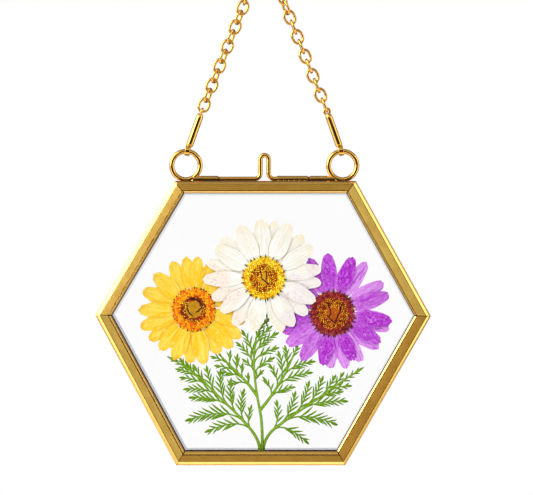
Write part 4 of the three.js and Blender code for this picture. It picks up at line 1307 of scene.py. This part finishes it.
def disc(name):
    """The mound of one flower, its florets along a golden spiral, and the bracts round its rim."""
    make, flower = DISCS[name], FLOWERS[name]
    centre = np.insert(flower["centre"], 1, 0.0)
    radius = flower["disc"] - 0.25
    shape = Shape()
    points, faces = disc_base(radius, make["dome"], make["back"])
    shape.add(points + centre, faces, colour=ground_colours(make, points[:, [0, 2]] / radius))
    count = int(math.pi * (radius / make["pitch"]) ** 2)
    # Painted shade at the foot of each floret and painted highlight towards its tip.
    floret_shading = np.repeat([0.55, 1.0, 1.15, 1.2], [6, 6, 6, 1])[:, None]
    for i in range(count):
        share = math.sqrt((i + 0.5) / count) * rng.uniform(0.985, 1.015)
        place = directions(i * math.pi * (3 - math.sqrt(5)))[0] * share
        zone = next((zone for zone in make["zones"] if share <= zone[0]), make["zones"][-1])
        _, fullness, widest, tones = zone
        if rng.random() > fullness or distance_to_lines(place[None], make["cracks"])[0] < 0.05:
            continue
        colour = np.array(tones[rng.integers(len(tones))]) * rng.uniform(0.85, 1.1)
        size = rng.uniform(0.85, 1.15) * widest
        height = size * rng.uniform(0.7, 1.1)
        points, faces = floret(size, height, rng.uniform(0, 1))
        lean = rng.normal(0, 0.16, 2)
        points[:, [0, 2]] += points[:, 1:2] * lean
        mound = make["back"] - make["dome"] * (1 - min(share, 1) ** 3) - 0.06
        points += centre + (place[0] * radius, mound, place[1] * radius)
        shape.add(points, faces, colour=colour * floret_shading)
    add_bracts(shape, name, centre, flower["disc"], make["back"])
    shape.make(
        f"{name}_flower_disc", "back_frame", [floret_finishes[name]], [f"{name}_disc"],
        slot=f"{name}_flower_disc",
    )


def scale(centre, turn, outline, level, thickness):
    """A small flat plate that points outwards from a flower's centre."""
    out, side = directions(turn)
    flat = np.array([u * out + v * side for u, v in outline])
    rows = [np.insert(flat, 1, depth, axis=1) for depth in (level, level + thickness)]
    return np.concatenate(rows) + centre, capped_tube_faces(2, len(outline))


def add_bracts(shape, name, centre, radius, back):
    """Small dark tips round the rim of the disc."""
    count, (shortest, longest), tones = BRACTS[name]
    for i in range(count):
        turn = 2 * math.pi * (i + rng.uniform(-0.3, 0.3)) / count
        length, half = rng.uniform(shortest, longest), rng.uniform(0.22, 0.4)
        lean = rng.uniform(-0.5, 0.5)
        outline = [
            (-0.5, -half), (-0.5, half), (0.3 * length, half * 0.9), (length, lean * half),
            (0.3 * length, -half * 0.9),
        ]
        outline = [(radius + u - 0.3, v) for u, v in outline]
        level = back - (0.62 if name == "white" else 0.42) - rng.uniform(0, 0.05)
        colour = np.array(tones[rng.integers(len(tones))])
        shape.add(*scale(centre, turn, outline, level, 0.12), colour=colour)


def flower_back(name, stalk_to):
    """The green cup and the cut stalk behind a flower."""
    flower = FLOWERS[name]
    centre = np.insert(flower["centre"], 1, flower["back"] + 0.02)
    shape = Shape()
    for ring, (reach, level) in enumerate(CUP_RINGS):
        outline = [(1.0, -0.1), (1.0, 0.1), (reach * 0.7, 0.85), (reach, 0.0), (reach * 0.7, -0.85)]
        for i in range(CUP_SCALES):
            turn = 2 * math.pi * (i + ring / 2) / CUP_SCALES
            shape.add(*scale(centre, turn, outline, level, 0.05), across=0.5, seed=i + ring)
    path = centre + [(x, 0.2, z) for x, z in stalk_to]
    points, faces = sweep(path, np.linspace(0.55, 0.32, len(path)), 10)
    points[:, 1] = path[0, 1] + (points[:, 1] - path[0, 1]) * 0.35
    shape.add(points, faces, across=0.8, stalk=0.6, seed=3.0)
    shape.make(f"{name}_flower_cup", "back_frame", [pressed_leaf], slot="pressed_leaf")


# Leaves
LEAFLET_PITCH = 2.5
LEAVING_SHIFT = 0.075
STEM_HALF_WIDTH = 0.75
STEM_TIP = 0.34
# How high the painted shade under the frame's lip reaches up the stems.
FOOT_HEIGHT = 6.3
LEAF_BACK = 0.06
SHORTEST_PINNA = 4.5


def lengths_along(line):
    """How far along the line each of its points lies."""
    return np.concatenate([[0], np.cumsum(np.linalg.norm(np.diff(line, axis=0), axis=1))])


def resample(points, spacing):
    """A smooth line through points, with even steps."""
    points = np.asarray(points, float)
    padded = np.concatenate([[2 * points[0] - points[1]], points, [2 * points[-1] - points[-2]]])
    fine = []
    for i in range(1, len(padded) - 2):
        p0, p1, p2, p3 = padded[i - 1:i + 3]
        for t in np.linspace(0, 1, 12, endpoint=False):
            fine.append(0.5 * (
                2 * p1 + (p2 - p0) * t + (2 * p0 - 5 * p1 + 4 * p2 - p3) * t ** 2
                + (3 * p1 - p0 - 3 * p2 + p3) * t ** 3
            ))
    fine = np.array([*fine, points[-1]])
    lengths = lengths_along(fine)
    even = np.linspace(0, lengths[-1], max(4, int(lengths[-1] / spacing) + 1))
    return np.stack([np.interp(even, lengths, fine[:, 0]), np.interp(even, lengths, fine[:, 1])], 1)


def along_line(line, share):
    """Place and direction at a share of the line's length."""
    lengths = lengths_along(line)
    at = share * lengths[-1]
    i = min(int(np.searchsorted(lengths, at, side="right")) - 1, len(line) - 2)
    direction = (line[i + 1] - line[i]) / np.linalg.norm(line[i + 1] - line[i])
    return line[i] + direction * (at - lengths[i]), direction


def strip(shape, line, half_widths, front, crown, **marks):
    """A flat strip with a raised middle along a line in the frame's plane."""
    ahead = np.gradient(line, axis=0)
    ahead /= np.linalg.norm(ahead, axis=1)[:, None]
    side = np.stack([-ahead[:, 1], ahead[:, 0]], 1)
    rows = len(line)
    shares = np.tile((-1.0, -0.5, 0.0, 0.5, 1.0), (rows, 1))
    places = line[:, None] + side[:, None] * (shares * half_widths[:, None])[..., None]
    points = sheet_points(places, front - crown * (1 - shares ** 2), front + LEAF_BACK)
    every_petal = [one for own in flower_petals.values() for one in own]
    shape.add(
        points, sheet_faces(rows, 5), along=np.repeat(np.linspace(0, 1, rows), 10),
        across=both_sides(shares), above=deepest(every_petal, points[..., [0, 2]].reshape(-1, 2)),
        below=FAR_OUTSIDE, **marks,
    )


def blade(shape, foot, tip, width, front, bend):
    """One narrow pointed leaflet, often with a tooth on one side."""
    reach = tip - foot
    length = np.linalg.norm(reach)
    sideways = np.array((-reach[1], reach[0])) / length
    t = np.linspace(0, 1, 9)
    line = foot + t[:, None] * reach + sideways * (bend * length * 4 * t * (1 - t))[:, None]
    half = width / 2 * np.clip(np.sin(np.pi * (0.08 + 0.92 * t) ** 1.1), 0, 1) ** 0.8
    strip(shape, line, np.maximum(half, 0.02), front, 0.05, seed=rng.uniform(0, 40))
    if length > 4.0 and rng.random() < 0.5:
        hand = 1 if bend > 0 else -1
        start = foot + reach * 0.3
        end = foot + reach * 0.7 + hand * sideways * width * 0.7
        t = np.linspace(0, 1, 6)
        half = np.maximum(0.3 * (1 - t ** 2), 0.02)
        line = start + t[:, None] * (end - start)
        strip(shape, line, half, front - 0.004, 0.03, seed=rng.uniform(0, 40))


def leaflets_along(shape, line, start, end, longest, shortest, front):
    """Leaflets that leave a line alternately on both sides, between two shares of its length."""
    pairs = max(1, round(lengths_along(line)[-1] * (end - start) / LEAFLET_PITCH))
    for i in range(pairs):
        for hand in (-1, 1):
            share = (i + 0.5 + 0.25 * hand) / pairs
            base, ahead = along_line(line, start + (end - start) * share)
            across = np.array((-ahead[1], ahead[0])) * hand
            lean = math.radians(rng.uniform(27, 34) - 4 * share)
            reach = (longest + (shortest - longest) * share) * rng.uniform(0.9, 1.1)
            tip = base + reach * (ahead * math.cos(lean) + across * math.sin(lean))
            level = front + 0.01 * (i % 2) + 0.005 * hand
            blade(shape, base, tip, 0.46 + 0.07 * reach, level, -0.05 * hand)


def pinna(shape, stem, share, tip, front):
    """A side leaf: a bent midrib with leaflets on both sides and one at its tip."""
    foot, direction = along_line(stem, share - LEAVING_SHIFT * min(1.0, share * 2))
    length = np.linalg.norm(tip - foot)
    if length < SHORTEST_PINNA:
        blade(shape, foot, tip, 1.0, front, 0.05)
        return
    bend = foot + direction * length * 0.4
    t = np.linspace(0, 1, 16)[:, None]
    line = (1 - t) ** 2 * foot + 2 * t * (1 - t) * bend + t * t * tip
    widths = np.linspace(0.42, 0.24, 16) * min(1.0, 0.6 + length / 30)
    strip(shape, line[:15], widths[:15], front, 0.08, stalk=0.4, seed=rng.uniform(0, 40))
    longest = 2.6 + 0.2 * length
    shortest = 0.58 * longest
    start = 0.24 if length > 8 else 0.12
    end = max(0.5, 1 - (0.9 * shortest + 0.5) / length)
    leaflets_along(shape, line, start, end, longest, shortest, front)
    base, _ = along_line(line, max(0.45, 1 - 3.6 / length))
    blade(shape, base, tip, 0.95 + 0.02 * length, front - 0.02, 0.0)


def leaf(name):
    """One part of the fern-like leaf: its stems, and the side leaves along them."""
    front = LEAF_FRONTS[name]
    shape = Shape()
    for branch in FRONDS[name]:
        stem = resample(np.array(branch["stem"]) + (0, BOTTOM_EDGE), 1.0)
        fall = np.linspace(0, 1, len(stem))
        widths = STEM_HALF_WIDTH + (STEM_TIP - STEM_HALF_WIDTH) * fall ** 0.8
        # Painted shade on the stem where it runs in under the frame's lip.
        foot = np.repeat(np.clip((FOOT_HEIGHT - (stem[:, 1] - BOTTOM_EDGE)) / 0.5, 0, 1), 10)
        strip(shape, stem, widths, front - 0.03, 0.12, stalk=1.0, seed=1.0, foot=foot)
        for share, x, z in branch["leaflets"]:
            pinna(shape, stem, share, np.array((x, BOTTOM_EDGE + z)), front)
        leaflets_along(shape, stem, 0.82, 0.96, 4.2, 2.6, front - 0.01)
        base, _ = along_line(stem, 0.93)
        blade(shape, base, stem[-1] + (stem[-1] - base) * 0.4, 1.2, front - 0.01, 0.0)
    shape.make(
        f"{name}_pressed_leaf", "back_frame", [pressed_leaf], [f"leaf_{name}"], slot="pressed_leaf",
    )


# Studio
CAMERA_DISTANCE = 950
PLANE_WIDTH = 238.59  # width of the view at the frame's middle plane
VIEW_CENTRE = (0.98, -141.66)
SENSOR_WIDTH = 36
GLASS_LOSS = 0.11  # the backdrop is this much brighter behind the glass, so that it stays white
WHITE = (1, 1, 1, 1)
KEY_SIDE = (-0.87, 0.0, 0.5)
LIGHTS_AIM = Vector((0, 0, -0.15))
SOFTBOXES = {  # place and size in metres, and radiance
    "key_softbox": ((-0.87, -0.46, 0.35), (1.0, 0.9), 4.3),
    "key_strip": ((-0.95, -0.22, 0.42), (0.2, 0.5), 5.5),
    "right_strip": ((1.0, -0.24, -0.1), (0.45, 1.5), 2.0),
    "left_strip": ((-0.9, -0.22, -0.6), (0.3, 0.6), 1.6),
    "low_strip": ((0.0, -0.08, -0.5), (0.7, 0.2), 1.0),
    "brow_card": ((0.0, -0.85, 0.3), (1.2, 0.18), 1.6),
}
ROOM = [  # how light the room is, from beside the camera to behind the object
    (0.0, 0.03), (0.08, 0.03), (0.15, 0.75), (0.24, 0.95), (0.42, 0.9), (0.5, 0.65), (0.7, 0.55),
    (0.84, 0.12),
]
FLOOR_RADIUS = 0.7
FLOOR_HEIGHT = -0.55


def studio():
    scene = bpy.context.scene
    scene.view_settings.view_transform = "Standard"
    scene.view_settings.look = "None"
    camera_data = bpy.data.cameras.new("camera")
    camera_data.sensor_width = SENSOR_WIDTH
    camera_data.lens = SENSOR_WIDTH * CAMERA_DISTANCE / PLANE_WIDTH
    camera_data.clip_start = 0.01
    camera_data.clip_end = 20
    camera = bpy.data.objects.new("camera", camera_data)
    camera.location = (VIEW_CENTRE[0] * METRES, -CAMERA_DISTANCE * METRES, VIEW_CENTRE[1] * METRES)
    camera.rotation_euler = (math.pi / 2, 0, 0)
    scene.collection.objects.link(camera)
    scene.camera = camera
    surroundings()
    for name, (place, size, radiance) in SOFTBOXES.items():
        softbox(name, place, size, radiance)
    floor()


def softbox(name, place, size, radiance):
    data = bpy.data.lights.new(name, "AREA")
    data.shape = "RECTANGLE"
    data.size, data.size_y = size
    data.energy = radiance * math.pi * size[0] * size[1]
    lamp = bpy.data.objects.new(name, data)
    lamp.location = place
    lamp.rotation_euler = (LIGHTS_AIM - Vector(place)).to_track_quat("-Z", "Y").to_euler()
    lamp.visible_camera = False
    bpy.context.scene.collection.objects.link(lamp)


def surroundings():
    """A white backdrop, and the room that the metal reflects: dark round the camera, lighter beside."""
    world = bpy.data.worlds.new("studio")
    world.use_nodes = True
    bpy.context.scene.world = world
    world.node_tree.nodes.clear()
    nodes = Nodes(world.node_tree)
    direction = nodes.add("ShaderNodeTexCoord").outputs["Generated"]
    _, depth, height = nodes.split(direction)
    ring = nodes.add("ShaderNodeValToRGB", {0: nodes.maths("MULTIPLY_ADD", depth, 0.5, 0.5)})
    set_ramp(ring.color_ramp, ROOM)
    key = nodes.maths("MULTIPLY_ADD", nodes.dot(direction, KEY_SIDE), 0.45, 1.0)
    overhead = nodes.remap(height, 0.5, 0.9, 1.0, 0.5)
    level = nodes.times(nodes.times(ring.outputs[0], key), overhead)
    room = nodes.add("ShaderNodeBackground", {"Color": WHITE, "Strength": level})
    path = nodes.add("ShaderNodeLightPath").outputs
    unreflected = nodes.maths("LESS_THAN", path["Glossy Depth"], 0.5)
    through_glass = nodes.times(path["Is Transmission Ray"], unreflected)
    behind = nodes.maths("MAXIMUM", path["Is Camera Ray"], through_glass)
    white = nodes.plus(nodes.times(through_glass, GLASS_LOSS), 1.0)
    backdrop = nodes.add("ShaderNodeBackground", {"Color": WHITE, "Strength": white})
    either = nodes.add("ShaderNodeMixShader", {0: behind, 1: room.outputs[0], 2: backdrop.outputs[0]})
    nodes.add("ShaderNodeOutputWorld", {"Surface": either.outputs[0]})


def set_ramp(ramp, stops):
    while len(ramp.elements) < len(stops):
        ramp.elements.new(0.5)
    for element, (place, level) in zip(ramp.elements, stops):
        element.position = place
        element.color = (level, level, level, 1)


def floor():
    finish = Finish("pale_floor")
    grain = finish.noise(finish.place_in_mm(), 0.02)
    finish.colour = finish.blend(grain, srgb(236, 236, 234), srgb(244, 244, 242))
    rim = [(FLOOR_RADIUS * x, FLOOR_RADIUS * y, FLOOR_HEIGHT) for x, y in zip(*circle(64))]
    mesh = bpy.data.meshes.new("floor")
    mesh.from_pydata(rim, [], [tuple(range(len(rim)))])
    mesh.materials.append(finish.done({"Roughness": 0.8}))
    piece = bpy.data.objects.new("floor", mesh)
    bpy.context.scene.collection.objects.link(piece)


studio()
dress_panes()
for rail_index in range(6):
    rail(FRONT, rail_index)
    rail(BACK, rail_index)
hanging_ring()
for chain_side, chain_hand in (("left", -1), ("right", 1)):
    corner_ring(chain_side, chain_hand)
    tube_connector(chain_side, chain_hand)
    for link_number in range(1, LINKS + 1):
        chain_link(chain_side, chain_hand, link_number)
for tube_side in TUBE_SPANS:
    latch_tube(tube_side)
latch_wire()
for leaf_name in FRONDS:
    leaf(leaf_name)
for flower_name in FLOWERS:
    petals(flower_name)
    disc(flower_name)
flower_back("white", [(0, 0), (0.8, -9), (1.4, -16), (1.3, -21.5)])
flower_back("yellow", [(0, 0), (1.5, -7), (4, -15)])
flower_back("purple", [(0, 0), (-1.5, -7), (-4, -15)])
